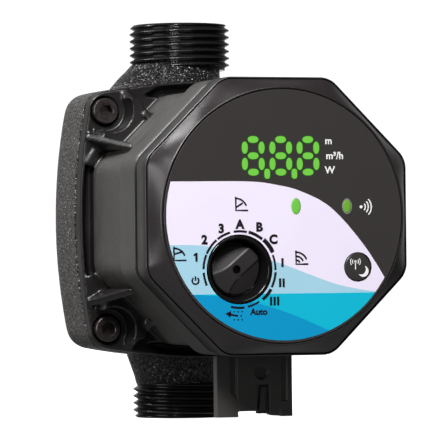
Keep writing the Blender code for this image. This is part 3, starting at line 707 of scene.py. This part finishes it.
def build_motor_housing():
    """The die casting with softened edges, a groove inside the flange edge, and a smoother collar. Its black
    flange finish is partly the flange's own glossy black and partly painted shade in the pockets, on the
    corner webs and on the collar's front face.
    """
    housing = copy_of("motor_housing", "motor_housing_casting", "die_cast")
    pockets = []
    rim = SIDE_HALF - 0.3 - 1.0
    for k in range(4):
        outer = [(rim - z * z / (2.0 * SIDE_ARC_R), z) for z in np.linspace(-18.0, 18.0, 13)]
        shallow = outer + [(BODY_HALF - 0.6, 24.0), (BODY_HALF - 0.6, -24.0)]
        deep = [(x - 1.0, z * 0.94) for x, z in outer] + [(BODY_HALF - 0.6, 22.0), (BODY_HALF - 0.6, -22.0)]
        turn = Matrix.Rotation(math.radians(90.0 * k), 2)
        levels = ((deep, FLANGE_FRONT + 3.3), (shallow, FLANGE_FRONT + 0.4), (shallow, FLANGE_FRONT - 1.0))
        rings = [at_y([tuple(turn @ Vector(p)) for p in outline], y) for outline, y in levels]
        pockets.append(loft(f"pocket_cut_{k}", rings))
    cutter = joined("pocket_cut", *pockets)
    keep = prism("octagon_keep", octagon(BODY_HALF), FLANGE_FRONT + 5.0, FLANGE_FRONT - 3.0)
    boolean(cutter, "DIFFERENCE", keep)
    boolean(housing, "DIFFERENCE", cutter)
    for i, (x, z) in enumerate(screw_places()):
        sx, sz = math.copysign(1.0, x), math.copysign(1.0, z)
        boolean(housing, "UNION", pocket_ridge(sx, sz))
        low = [(40.2, 26.4), (34.0, 22.3), (23.8, 31.8), (28.6, 39.8)]
        high = [(38.0, 25.0), (33.6, 22.6), (24.0, 31.4), (27.6, 38.0)]
        levels = ((low, FLANGE_FRONT + 1.5), (low, FLANGE_FRONT - 3.0), (high, FLANGE_FRONT - 8.5))
        rings = [at_y([(px * sx, pz * sz) for px, pz in outline], y) for outline, y in levels]
        web = loft(f"corner_web_{i}", rings)
        boolean(web, "DIFFERENCE", turned("web_hollow", rod(6.9, -20.0, -50.0), 64, at=(x, z)))
        boolean(housing, "UNION", web)
    voxel(housing, 0.42)
    relax(housing, 10)
    mesh = housing.data
    mesh.materials.append(MATERIALS["satin"])
    mesh.materials.append(MATERIALS["flange"])
    centres = np.zeros(len(mesh.polygons) * 3, np.float32)
    mesh.polygons.foreach_get("center", centres)
    x, y, z = centres.reshape(-1, 3).T / MM
    across = np.maximum(np.maximum(abs(x), abs(z)), (abs(x) + abs(z)) / math.sqrt(2.0))
    zone = np.where(y < COLLAR_REAR + 0.2, 1, 0)
    # The collar's front face, in the narrow gap behind the frame, takes the black flange finish: painted
    # shade, since that gap lies in shadow.
    zone = np.where(y < COLLAR_FRONT + 0.3, 2, zone)
    # Faces outside the body octagon (webs, pocket ridges) and behind the flange front (pocket floors, flange
    # sides) take the black flange finish. This is partly the flange's own glossy black and partly painted
    # shade in the pockets and on the corner webs.
    zone = np.where((across > BODY_HALF + 0.15) & (y > COLLAR_REAR + 0.2), 2, zone)
    zone = np.where(y > FLANGE_FRONT + 0.3, 2, zone)
    mesh.polygons.foreach_set("material_index", zone.astype(np.int32))
    smooth_shaded(housing)
    place(housing, "housing_aluminium", "motor_housing")


def build_screws():
    """Socket head cap screws with a knurled rim, chamfers and a hexagonal recess."""
    head_y, top_y = -27.9, -32.6
    for i, (x, z) in enumerate(screw_places(), 1):
        count = 144
        rows = (
            (4.05, 0.0, head_y), (4.25, 0.0, head_y - 0.25), (4.22, 0.09, head_y - 0.6),
            (4.22, 0.09, top_y + 1.1),
            (4.22, 0.0, top_y + 0.7), (4.1, 0.0, top_y + 0.25), (3.85, 0.0, top_y + 0.03), (3.4, 0.0, top_y),
            (2.55, 0.0, top_y), (2.4, 0.0, top_y + 0.18),
        )
        rings = [at_y(circle(2.35, count, (x, z)), -14.6), at_y(circle(2.35, count, (x, z)), head_y)]
        for r, knurl, y in rows:
            ring = []
            for k in range(count):
                a = math.tau * k / count
                rr = r - knurl * (k % 4 < 2)
                ring.append((x + rr * math.cos(a), y, z + rr * math.sin(a)))
            rings.append(ring)
        screw = loft(f"cap_screw_{i}", rings, "screw", 35.0)
        hexagon = circle(2.0 / math.cos(math.radians(30.0)), 6, (x, z), turn=15.0 + 20.0 * i)
        boolean(screw, "DIFFERENCE", prism("hex_cut", hexagon, top_y + 2.6, top_y - 1.0, "screw"))
        smooth_shaded(screw, 30.0)
        place(screw, "screw_steel", f"housing_screw_{i}")


# ---------------------------------------------------------------- control head


def build_frame():
    """Octagonal frame with rounded edges, and the gasket in the groove behind it."""
    profile = [
        (FRAME_HALF - 0.7, FRAME_REAR), (FRAME_HALF - 0.25, FRAME_REAR - 0.12),
        (FRAME_HALF, FRAME_REAR - 0.5), (FRAME_HALF, FRAME_FRONT + 0.45),
        (FRAME_HALF - 0.06, FRAME_FRONT + 0.2), (FRAME_HALF - 0.2, FRAME_FRONT + 0.04),
        (FRAME_HALF - 0.36, FRAME_FRONT), (COVER_HALF + 0.3, FRAME_FRONT + 0.15),
        (COVER_HALF + 0.3, COVER_REAR + 0.3),
        (FRAME_HALF - 2.9, COVER_REAR + 0.3), (FRAME_HALF - 2.9, FRAME_REAR),
    ]
    rings = [at_y(octagon(half, 7.5 - (FRAME_HALF - half) * 0.4), y) for half, y in profile]
    frame_ring = loft("control_head_frame", rings, "frame", 50.0, add_closed_loft)
    place(frame_ring, "head_frame", "control_frame")
    outer, inner = octagon(41.2, 7.0), octagon(38.4, 5.0)
    front, rear = FRAME_REAR + 0.3, COLLAR_FRONT - 0.2
    middle = octagon(40.9, 7.0)
    outside = [at_y(middle, front), at_y(outer, front + 0.4), at_y(outer, rear - 0.4), at_y(middle, rear)]
    rings = outside + [at_y(inner, rear), at_y(inner, front)]
    place(loft("head_gasket", rings, "rubber", 40.0, add_closed_loft), "seal_rubber", "cover_gasket")


def wider_oval(size, margin, count, centre):
    """The outline of a light guide with a margin round it."""
    return ellipse((size[0] + margin, size[1] + margin), count, centre)


def window_cutters(label):
    """Cutters for the button and the two lights, long enough for the cover or the label."""
    return [
        turned(f"{label}_button", rod(BUTTON_R + 0.3, *THROUGH), 96, at=BUTTON),
        prism(f"{label}_status", wider_oval(STATUS_SIZE, 0.06, 64, STATUS_LIGHT), *THROUGH),
        prism(f"{label}_wireless", wider_oval(WIRELESS_SIZE, 0.06, 64, WIRELESS_LIGHT), *THROUGH),
    ]


def build_cover():
    """Bezel that runs from the octagon to the round label, with a crisp seat and the dial well."""
    edge = octagon(COVER_HALF)
    angles = [math.atan2(z, x) for x, z in edge]
    rim_r = 39.95
    top = -96.35
    rings = [at_y(octagon(COVER_HALF - 0.1), COVER_REAR)]
    rings += [at_y(edge, COVER_REAR - 0.2), at_y(edge, COVER_EDGE + 0.35)]
    steps = 14
    for i in range(steps + 1):
        t = i / steps
        y = COVER_EDGE + (top - COVER_EDGE) * (t + 0.05 * math.sin(math.pi * t))
        start = octagon(COVER_HALF - 0.12 if i == 0 else COVER_HALF - 0.18)
        ring = []
        for (x, z), a in zip(start, angles):
            goal = (rim_r * math.cos(a), rim_r * math.sin(a))
            ring.append((x + (goal[0] - x) * t, y, z + (goal[1] - z) * t))
        rings.append(ring)
    lip = ((39.8, top - 0.1), (39.62, top - 0.13), (39.5, top - 0.08), (SEAT_R, top + 0.06))
    for r, y in (*lip, (SEAT_R, LABEL_FRONT + 0.85)):
        rings.append([(r * math.cos(a), y, r * math.sin(a)) for a in angles])
    cover = loft("control_cover", rings, "cover", 50.0)
    back = turned("cover_back_cut", rod(37.6, -80.0, -93.5), 96)
    boolean(cover, "DIFFERENCE", back)
    well_wall = turned("well_wall", rod(WELL_R + 1.3, -88.4, -94.5), 96, at=KNOB)
    boolean(cover, "UNION", well_wall)
    well = [(0.0, -86.0), (4.2, -86.0), (4.2, -89.6), (WELL_R, -89.6), (WELL_R, -99.0), (0.0, -99.0)]
    boolean(cover, "DIFFERENCE", turned("well_cut", well, 128, at=KNOB), *window_cutters("cover"))
    smooth_shaded(cover, 40.0)
    place(cover, "dark_polymer", "front_cover")


def build_label():
    """The label film, dark, with holes for the dial, the button and the lights."""
    front, back = LABEL_FRONT, LABEL_FRONT + 0.4
    profile = [(0.0, back), (LABEL_R, back), (LABEL_R, front + 0.08), (LABEL_R - 0.08, front), (0.0, front)]
    label = turned("label_film", profile, 256, material="label")
    well = turned("label_well", rod(WELL_R, *THROUGH), 160, at=KNOB)
    boolean(label, "DIFFERENCE", well, *window_cutters("label"))
    smooth_shaded(label, 30.0)
    place(label, "label_film", "front_label")


def curve_points(knots, per_span=12):
    """A smooth line through the points (x, z), each span a cubic."""
    points = []
    last = len(knots) - 1
    for i in range(last):
        before, start, end, after = (Vector(knots[max(0, min(last, k))]) for k in (i - 1, i, i + 1, i + 2))
        for k in range(per_span):
            t = k / per_span
            a = 2 * start
            b = end - before
            c = 2 * before - 5 * start + 4 * end - after
            d = -before + 3 * start - 3 * end + after
            points.append(tuple((a + b * t + c * t * t + d * t**3) / 2))
    points.append(tuple(knots[-1]))
    return points


def ink_area(name, outline, level, material):
    """A thin printed field, trimmed to the label and clear of its holes."""
    y0 = LABEL_FRONT + 0.01 - 0.012 * (level - 1)
    y1 = LABEL_FRONT - 0.012 * level
    area = prism(name, outline, y0, y1, material)
    trim = turned("trim", rod(INK_R, *THROUGH), 256)
    boolean(area, "INTERSECT", trim)
    well = turned("ink_well", rod(WELL_R, *THROUGH), 160, at=KNOB)
    boolean(area, "DIFFERENCE", well, *window_cutters("ink"))
    return smooth_shaded(area, 30.0)


def strokes(bm, points, width, y, closed=False):
    """A line of even width through points (x, z), as one flat ribbon with a little thickness."""
    pts = [Vector(p) for p in points]
    left, right = [], []
    count = len(pts)
    for i, p in enumerate(pts):
        before = pts[(i - 1) % count] if closed or i else p
        after = pts[(i + 1) % count] if closed or i < count - 1 else p
        along = (after - before).normalized()
        side = Vector((-along.y, along.x)) * width / 2
        left.append(p + side)
        right.append(p - side)
    front = [[bm.verts.new((p.x, y, p.y)) for p in row] for row in (left, right)]
    back = [[bm.verts.new((p.x, y + 0.01, p.y)) for p in row] for row in (left, right)]
    spans = count if closed else count - 1
    for i in range(spans):
        j = (i + 1) % count
        bm.faces.new((front[0][i], front[0][j], front[1][j], front[1][i]))
        bm.faces.new((back[0][i], back[1][i], back[1][j], back[0][j]))
        bm.faces.new((front[0][i], back[0][i], back[0][j], front[0][j]))
        bm.faces.new((front[1][i], front[1][j], back[1][j], back[1][i]))
    if not closed:
        for i in (0, count - 1):
            bm.faces.new((front[0][i], front[1][i], back[1][i], back[0][i]))


def plate(bm, outline, y):
    add_loft(bm, [at_y(outline, y + 0.01), at_y(outline, y)])


def clock_arc(centre, radius, start, end, count=16):
    return [clock(start + (end - start) * i / count, radius, centre) for i in range(count + 1)]


def glyphs(name, words, material, y, thicken=0.0):
    """Generic characters on the label: (text, size, x, z) each, centred, as one mesh."""
    made = []
    for text, size, x, z in words:
        curve = bpy.data.curves.new(name, "FONT")
        curve.body = text
        curve.size = size * MM
        curve.offset = thicken * MM
        curve.extrude = 0.005 * MM
        curve.align_x = "CENTER"
        curve.align_y = "CENTER"
        curve.resolution_u = 6
        obj = add_object(name, curve)
        upright = Matrix.Rotation(math.radians(90.0), 4, "X")
        obj.matrix_world = Matrix.Translation(Vector((x, y + 0.005, z)) * MM) @ upright
        mesh = evaluated_mesh(obj)
        mesh.transform(obj.matrix_world)
        mesh.materials.clear()
        mesh.materials.append(MATERIALS[material])
        solid = add_object(f"{name}_{len(made)}", mesh)
        remove(obj)
        made.append(solid)
    return joined(name, *made)


DIAL_CENTRE = (-14.74, -16.38)
DIAL_R = 11.75
DIAL_LETTERS = (
    ("2", -26.1, -7.3), ("3", -20.6, -3.9), ("A", -14.5, -2.65), ("B", -8.2, -3.5), ("C", -3.6, -7.3),
)
ROMAN_FIGURES = ((1, -0.7, -14.4), (2, -0.95, -20.6), (3, -3.4, -26.2))
DIAL_ARCS = (
    (-114.0, -94.0, 0.7), (-89.0, -67.0, 0.7), (-65.0, -39.5, 0.7), (-37.0, -15.0, 0.7), (-8.9, 12.2, 0.7),
    (14.9, 38.8, 0.95), (41.0, 64.5, 1.35), (68.0, 91.5, 0.65), (94.5, 118.0, 0.75), (121.0, 141.5, 1.0),
    (147.5, 167.5, 0.6), (173.2, 194.5, 0.7),
)


def build_prints():
    """Colour fields, dial marks, pictograms and units on the label."""
    top = curve_points(
        [
            (-42.0, 10.65), (-30.0, 10.7), (-11.7, 10.65), (-3.0, 9.7), (5.4, 7.67),
            (15.31, 2.67), (25.22, -7.64), (33.31, -19.5), (38.0, -30.0),
        ]
    )
    lavender = top + [(38.0, -45.0), (-42.0, -45.0)]
    second = curve_points(
        [
            (-42.0, -8.8), (-27.6, -8.9), (-14.0, -11.2), (-2.45, -14.2),
            (8.0, -18.0), (18.37, -21.5), (30.4, -23.6), (40.0, -24.0),
        ]
    )
    light_blue = second + [(40.0, -45.0), (-42.0, -45.0)]
    cyan = [(42.0, -23.9), (42.0, -45.0), (-42.0, -45.0), (-42.0, -23.9)]
    wedge = curve_points(
        [
            (-42.0, -23.92), (-29.4, -23.95), (-18.0, -25.0), (-7.54, -27.19),
            (3.0, -30.6), (14.2, -35.38), (20.0, -38.0),
        ]
    )
    blue = wedge + [(20.0, -45.0), (-42.0, -45.0)]
    fields = [
        ink_area("field_lavender", lavender, 1, "lavender"),
        ink_area("field_light_blue", light_blue, 2, "light_blue"),
        ink_area("field_cyan", cyan, 3, "cyan"),
        ink_area("field_blue", blue, 4, "blue"),
    ]
    place(joined("label_colour_fields", *fields), "label_film")

    y = LABEL_FRONT - 0.07
    bm = bmesh.new()
    for start, end, thick in DIAL_ARCS:
        strokes(bm, clock_arc(DIAL_CENTRE, DIAL_R - 0.35 + thick / 2, start, end), thick, y)
    for count, x, z in ROMAN_FIGURES:
        for k in range(count):
            at = x + 1.15 * (k - (count - 1) / 2)
            strokes(bm, [(at, z - 1.36), (at, z + 1.36)], 0.76, y)
    strokes(bm, [(-28.75, -13.85), (-28.75, -11.15)], 0.72, y)
    strokes(bm, [(-28.75, -11.4), (-29.65, -11.95)], 0.55, y)
    power = (-29.15, -19.65)
    strokes(bm, [power, (power[0], power[1] + 1.35)], 0.52, y)
    strokes(bm, clock_arc(power, 1.05, 35.0, 325.0, 28), 0.52, y)
    for at, kind in (((-13.9, 3.65), "pressure"), ((5.7, -13.0), "curves"), ((-34.1, -11.5), "ramp")):
        x, z = at[0] - 1.9, at[1] - 1.9
        strokes(bm, [(x, z + 4.2), (x, z), (x + 4.0, z)], 0.55, y)
        angles = [math.radians(a) for a in range(0, 80, 8)]
        bend = [(x + 3.6 * math.sin(a), z + 0.4 + 3.3 * math.cos(a)) for a in angles]
        strokes(bm, bend, 0.55, y)
        if kind == "pressure":
            strokes(bm, [(x, z + 0.9), (x + 2.3, z + 2.3)], 0.55, y)
        if kind == "curves":
            for share in (0.66, 0.34):
                strokes(bm, [(x + (px - x) * share, z + (pz - z) * share) for px, pz in bend], 0.55, y)
        if kind == "ramp":
            strokes(bm, [(x, z + 1.9), (x + 2.6, z + 2.6)], 0.55, y)
    strokes(bm, [(-18.2, -30.1), (-15.4, -30.6)], 0.6, y)
    plate(bm, [(-19.6, -29.85), (-17.6, -29.0), (-17.9, -31.1)], y)
    row = (-16.7, -15.4, -14.1)
    for x, z in [(x, -29.3) for x in row] + [(-14.4, -30.6)] + [(x, -31.8) for x in row]:
        plate(bm, circle(0.26, 12, (x, z)), y)
    marks = finish_mesh("dial_marks", bm, "black_ink")
    letters = glyphs("dial_letters", [(t, 3.75, x, z) for t, x, z in DIAL_LETTERS], "black_ink", y, 0.2)
    word = glyphs("mode_word", [("Auto", 2.7, -8.6, -29.5)], "black_ink", y, 0.12)
    place(joined("dial_marks", marks, letters, word), "label_film")

    bm = bmesh.new()
    source = (25.6, 2.7)
    plate(bm, circle(0.5, 20, source), y)
    for r in (1.4, 2.4, 3.4):
        strokes(bm, clock_arc(source, r, 45.0, 135.0), 0.42, y)
    arcs = finish_mesh("wireless_pictogram", bm, "white_ink")
    bm = bmesh.new()
    strokes(bm, wider_oval(WIRELESS_SIZE, 0.17, 48, WIRELESS_LIGHT), 0.2, y, closed=True)
    place(finish_mesh("wireless_light_ring", bm, "ring_grey"), "label_film")
    words = [("m", 3.1, 14.95, 23.1), ("m³/h", 3.1, 16.95, 18.5), ("W", 3.1, 15.3, 14.05)]
    units = glyphs("unit_words", words, "white_ink", y, 0.07)
    place(joined("label_white_marks", arcs, units), "label_film")


def build_display():
    """Three lit digits of oval segments and two decimal points."""
    y = LABEL_FRONT - 0.055
    edges = ("display_segment_edges", 0.2, 0.0, "digit_edge")
    segments = ("display_segments", 0.0, 0.02, "digit")
    for name, grow, level, material in (edges, segments):
        bm = bmesh.new()
        for x in (-9.92, -0.88, 8.1):
            for z in (23.55, 18.53, 13.5):
                plate(bm, squircle((1.74 + grow, 1.05 + grow), (x, z), power=2.15), y - level)
            for z in (21.03, 16.03):
                for side in (-2.75, 2.75):
                    plate(bm, squircle((0.98 + grow, 1.84 + grow), (x + side, z), power=2.15), y - level)
        for x in (-5.4, 3.55):
            plate(bm, squircle((0.92 + grow, 1.5 + grow), (x, 13.0)), y - level)
        place(finish_mesh(name, bm, material), "light_guide" if grow == 0.0 else "label_film")


def squircle(size, centre, count=40, power=3.2):
    points = []
    for i in range(count):
        a = math.tau * i / count
        x, z = (math.copysign(abs(c) ** (2.0 / power), c) for c in (math.cos(a), math.sin(a)))
        points.append((centre[0] + size[0] * x, centre[1] + size[1] * z))
    return points


def build_lights():
    """The two light guides: flush ovals with a soft crown."""
    for node, centre, size, material in (
        ("status_light", STATUS_LIGHT, STATUS_SIZE, "status_green"),
        ("wireless_light", WIRELESS_LIGHT, WIRELESS_SIZE, "wireless_green"),
    ):
        rings = [at_y(ellipse(size, 64, centre), -88.0), at_y(ellipse(size, 64, centre), LABEL_FRONT + 0.1)]
        for shrink, lift in ((0.985, 0.03), (0.93, -0.02), (0.8, -0.05), (0.5, -0.075), (0.2, -0.085)):
            rings.append(at_y(ellipse((size[0] * shrink, size[1] * shrink), 64, centre), LABEL_FRONT + lift))
        place(loft(f"{node}_window", rings, material, 60.0), "light_guide", node)


# ---------------------------------------------------------------- dial and button


def build_knob():
    """Knob with a raised rim round a sunk grip that flares towards its tail."""
    steps = 160
    rim_y, moat_y, grip_y = LABEL_FRONT - 0.05, -91.4, -93.9
    profile = [
        (2.25, -87.9), (3.9, -87.9), (3.9, -90.0), (KNOB_R - 0.3, -90.0), (KNOB_R, -90.3),
        (KNOB_R, rim_y + 0.45), (KNOB_R - 0.08, rim_y + 0.18), (KNOB_R - 0.25, rim_y + 0.04),
        (KNOB_R - 0.5, rim_y), (KNOB_R - 0.75, rim_y + 0.05),
        (KNOB_R - 0.95, rim_y + 0.25), (KNOB_R - 1.1, rim_y + 0.6), (8.5, moat_y - 0.8), (8.25, moat_y),
        (2.25, moat_y),
    ]
    body = turned("knob_body", profile, steps, at=KNOB, material="knob")
    grip_r = 7.95
    pointer = Matrix.Rotation(math.radians(90.0 - REST_TURN), 2)
    back_turn = pointer.inverted()
    rows = 34
    angles = [math.tau * i / steps for i in range(steps)]
    foot = [(KNOB[0] + grip_r * math.cos(a), moat_y + 0.3, KNOB[1] + grip_r * math.sin(a)) for a in angles]
    rings = [foot]
    for k in range(rows):
        r = grip_r * (1.0 - k / rows)
        ring = []
        for a in angles:
            p = Vector((r * math.cos(a), r * math.sin(a)))
            u, v = back_turn @ p
            tail = max(0.0, -u - 0.5)
            half = 2.2 + 0.042 * tail**2
            out = max(0.0, abs(v) - half)
            step = min(1.0, out / 0.35)
            fall = 0.22 * step * step * (3.0 - 2.0 * step) + 0.34 * out
            edge = max(0.0, r - grip_r + 0.45) / 0.45
            fall += 0.25 * edge * edge
            ring.append((KNOB[0] + p.x, grip_y + fall, KNOB[1] + p.y))
        rings.append(ring)
    grip = loft("knob_grip", rings, "knob", 50.0)
    boolean(body, "UNION", grip)
    bore = turned("knob_bore", rod(2.25, -86.0, -91.9), 64, at=KNOB)
    eye = turned("knob_eye", rod(1.3, -92.3, -99.0), 64, at=KNOB)
    boolean(body, "DIFFERENCE", bore, eye)
    corners = ((5.6, -0.16), (7.9, -0.16), (7.9, 0.16), (5.6, 0.16))
    notch = [tuple(Vector(KNOB) + pointer @ Vector(p)) for p in corners]
    boolean(body, "DIFFERENCE", prism("pointer_notch", notch, -93.9, -99.0, "knob"))
    smooth_shaded(body, 42.0)
    body.data.materials.append(MATERIALS["knob_rim"])
    rim_slot = len(body.data.materials) - 1
    for face in body.data.polygons:
        middle = face.center / MM
        reach = math.hypot(middle.x - KNOB[0], middle.z - KNOB[1])
        if reach > grip_r + 0.1 or reach < 1.35:
            face.material_index = rim_slot
    body.name = "selector_dial"
    place(body, "dark_polymer", "selector_knob", body="selector")


def build_button():
    """Button with a slightly crowned face and two pictograms: a sender and a crescent."""
    face = LABEL_FRONT - 0.02
    profile = [
        (0.0, -88.9), (1.6, -88.9), (1.6, -92.2), (5.8, -92.2), (5.8, -93.2), (BUTTON_R, -93.2),
        (BUTTON_R, face + 0.35), (BUTTON_R - 0.06, face + 0.15),
        (BUTTON_R - 0.22, face + 0.03), (BUTTON_R - 0.5, face),
        (2.4, face - 0.02), (0.0, face - 0.03),
    ]
    button = turned("mode_push_button", profile, 128, at=BUTTON, material="label")
    y = face - 0.045
    bm = bmesh.new()
    x, z = 23.5, -14.3
    plate(bm, circle(0.42, 20, (x, z)), y)
    strokes(bm, [(x, z), (x, z - 2.4)], 0.34, y)
    for side in (90.0, 270.0):
        for r in (1.0, 1.65):
            strokes(bm, clock_arc((x, z), r, side - 38.0, side + 38.0), 0.26, y)
    moon = (26.1, -17.3)
    outer = arc(moon, 1.75, -150.0, 75.0, 24)
    start, end = Vector(outer[-1]), Vector(outer[0])
    inner_centre = (moon[0] - 0.75, moon[1] + 0.62)
    first = math.degrees(math.atan2(start.y - inner_centre[1], start.x - inner_centre[0]))
    last = math.degrees(math.atan2(end.y - inner_centre[1], end.x - inner_centre[0]))
    radius = (start - Vector(inner_centre)).length
    outer += arc(inner_centre, radius, first, last, 20)[1:-1]
    plate(bm, outer, y)
    marks = finish_mesh("button_pictograms", bm, "white_ink")
    place(joined("mode_push_button", button, marks), "dark_polymer", "mode_button", body="button")


# ---------------------------------------------------------------- plug socket


def build_socket():
    """Keyed plug socket: rounded walls, a ribbed front, a blind hole, a latch slot and a stepped edge."""
    step = SOCKET_FRONT + 3.2

    def outline(inset):
        return [
            (-SOCKET_HALF + inset, SOCKET_FRONT + inset), (SOCKET_HALF - inset, SOCKET_FRONT + inset),
            (SOCKET_HALF - inset, step), (SOCKET_BACK_HALF - inset, SOCKET_BACK - inset),
            (-SOCKET_BACK_HALF + inset, SOCKET_BACK - inset), (-SOCKET_HALF + inset, step),
        ]

    rings = [at_z(outline(0.0), SOCKET_BOTTOM), at_z(outline(0.0), SOCKET_TOP)]
    socket = loft("plug_socket", rings, "socket")
    boolean(socket, "UNION", box("neck", (-7.6, -64.6, SOCKET_TOP - 1.0), (7.6, -58.2, -40.7), "socket"))
    rings = [at_z(outline(2.0), SOCKET_BOTTOM - 1.0), at_z(outline(2.0), SOCKET_TOP - 4.0)]
    hollow = loft("hollow_cut", rings, "socket")
    front = SOCKET_FRONT - 1.0
    edge = [
        (-5.6, -64.0), (8.8, -64.0), (8.8, -60.6), (7.9, -60.6),
        (7.9, -62.2), (4.6, -62.2), (4.6, -61.0), (-5.6, -61.0),
    ]
    groove = [(-8.2, -40.0), (-8.2, -55.0), (-5.9, -57.3), (-5.9, -40.0)]
    right = [(9.0, -40.0), (9.0, -58.0), (11.0, -58.0), (11.0, -40.0)]
    boolean(
        socket,
        "DIFFERENCE",
        hollow,
        prism("edge_cut", edge, front, SOCKET_BACK + 1.0, "socket"),
        turned("dimple_cut", rod(2.3, SOCKET_FRONT + 1.3, front), 48, at=(2.3, -48.8)),
        box("slot_cut", (0.9, front, -61.5), (5.0, SOCKET_FRONT + 1.5, -52.4), "socket"),
        prism("groove_cut", groove, front, SOCKET_FRONT + 0.9, "socket"),
        prism("right_cut", right, front, SOCKET_FRONT + 0.55, "socket"),
    )
    low = [(1.3, -61.0), (3.6, -61.0), (4.6, -53.2), (2.3, -53.2)]
    face = [(x, SOCKET_FRONT + 0.2 + 0.11 * (z + 61.0), z) for x, z in low]
    tongue = loft("tongue", [face, at_y(low, SOCKET_FRONT + 1.7)], "socket")
    boolean(socket, "UNION", tongue)
    voxel(socket, 0.2)
    relax(socket, 4)
    smooth_shaded(socket)
    place(socket, "socket_polymer", "connector_socket")


# ---------------------------------------------------------------- kept solids


KEPT = {
    "wear_ring": "steel", "casing_o_ring": "rubber", "bearing_plate": "steel", "rotor_can": "steel",
    "front_bearing": "graphite", "rear_bearing": "graphite", "rear_bearing_holder": "steel",
    "impeller": "impeller", "rotor_shaft": "ceramic", "thrust_washer": "graphite", "rotor_magnet": "magnet",
    "stator_core": "stacked", "knob_spindle": "steel",
    "encoder_body": "black_part", "button_switch": "black_part",
    "control_board": "board", "power_board": "board", "display_module": "black_part",
    "status_light_led": "led", "wireless_light_led": "led", "line_choke": "copper",
    "filter_capacitor_1": "black_part", "filter_capacitor_2": "black_part",
    "contact_pin_1": "contact", "contact_pin_2": "contact", "contact_pin_3": "contact",
}
KEPT.update({f"stator_coil_{i}": "copper" for i in range(1, 7)})


def dress_kept_solids():
    for node, material in KEPT.items():
        data = NODES[node].data
        data.materials.clear()
        data.materials.append(MATERIALS[material])


# ---------------------------------------------------------------- studio


def direction_to(azimuth, elevation):
    """Unit vector from the pump. Azimuth 0 is in front of the display and -90 at its left, in degrees."""
    a, e = math.radians(azimuth), math.radians(elevation)
    return Vector((math.sin(a) * math.cos(e), -math.cos(a) * math.cos(e), math.sin(e)))


def soft_light(name, azimuth, elevation, distance, size, power):
    """An area light aimed at the pump."""
    away = direction_to(azimuth, elevation)
    data = bpy.data.lights.new(name, "AREA")
    data.shape = "RECTANGLE"
    data.size, data.size_y = size
    data.energy = power
    lamp = add_object(name, data)
    lamp.location = Vector((0.0, -0.05, 0.0)) + away * distance
    lamp.rotation_euler = away.to_track_quat("Z", "Y").to_euler()


def build_surround():
    """A white backdrop behind the pump. It is dark grey at the sides and at the level of the floor's edge,
    and a lighter grey straight below."""
    world = bpy.data.worlds.new("studio")
    bpy.context.scene.world = world
    world.use_nodes = True
    sky = Nodes(world.node_tree)

    def ramp(value, low, high, to_low, to_high):
        return sky.span(value, to_low, to_high, low, high, interpolation_type="SMOOTHSTEP")

    direction = sky.node("ShaderNodeTexCoord").outputs["Generated"]
    height = sky.node("ShaderNodeSeparateXYZ", {0: direction}).outputs["Z"]
    behind_pump = {0: direction, 1: (0.339, 0.941, 0.0)}
    facing = sky.node("ShaderNodeVectorMath", behind_pump, operation="DOT_PRODUCT").outputs["Value"]
    white = ramp(facing, 0.955, 0.985, 0.0, 0.75)
    glow = ramp(facing, 0.3, 0.95, 0.05, 0.32)
    above = ramp(height, -0.3, -0.06, 0.0, 1.0)
    overhead = ramp(height, 0.35, 0.75, 1.0, 0.25)
    glow = sky.maths("MULTIPLY", glow, overhead)
    below = ramp(height, -0.8, -0.2, 0.26, 0.04)
    level = sky.maths("ADD", sky.maths("MULTIPLY", sky.maths("ADD", white, glow), above), below)
    background = sky.tree.nodes["Background"]
    background.inputs["Color"].default_value = (1.0, 1.0, 1.0, 1.0)
    sky.tree.links.new(level, background.inputs["Strength"])


def build_studio():
    """Pale floor, soft lights, a bright surround, and the camera."""
    floor_shade = Shade("studio_floor", (0.9, 0.9, 0.9), 0.6, Emission_Strength=1.0)
    floor_shade.bump(floor_shade.noise(40.0, 2.0), 0.02, 0.2)
    tint = floor_shade.blend(floor_shade.noise(3.0), (1.0, 1.0, 1.0), (0.98, 0.98, 0.98))
    floor_shade.drive("Emission Color", tint)
    MATERIALS["floor"] = floor_shade.done()
    disc = circle(6000.0, 96)
    floor = loft("studio_floor", [at_z(disc, -PORT_HALF - 20.0), at_z(disc, -PORT_HALF)], "floor")
    floor.visible_diffuse = False
    floor.visible_glossy = False
    build_surround()

    soft_light("key_upper_left", -36.0, 40.0, 1.3, (0.35, 0.35), 24.0)
    soft_light("front_fill", 0.0, 50.0, 1.3, (0.5, 0.3), 4.0)
    soft_light("top_behind", -122.0, 44.0, 1.2, (0.4, 0.4), 7.5)
    soft_light("left_low", -76.0, 8.0, 1.2, (0.6, 0.6), 3.8)

    roll = math.radians(CAMERA_ROLL)
    back = direction_to(CAMERA_AZIMUTH, CAMERA_ELEVATION)
    right = (-back).cross(Vector((0.0, 0.0, 1.0))).normalized()
    up = right.cross(-back)
    across = right * math.cos(roll) + up * math.sin(roll)
    upward = -right * math.sin(roll) + up * math.cos(roll)
    target = Vector((0.0, -0.045, 0.0)) + across * -0.001013 + upward * -0.0017
    data = bpy.data.cameras.new("camera")
    data.lens = CAMERA_LENS_MM
    data.sensor_width = 36.0
    data.clip_start = 0.05
    data.clip_end = 30.0
    camera = add_object("camera", data)
    turn = Matrix((across, upward, back)).transposed().to_4x4()
    camera.matrix_world = Matrix.Translation(target + back * CAMERA_DISTANCE) @ turn
    bpy.context.scene.camera = camera
    bpy.context.scene.view_settings.view_transform = "Standard"


build_studio()
build_casing()
build_motor_housing()
build_screws()
build_frame()
build_cover()
build_label()
build_prints()
build_display()
build_lights()
build_knob()
build_button()
build_socket()
dress_kept_solids()
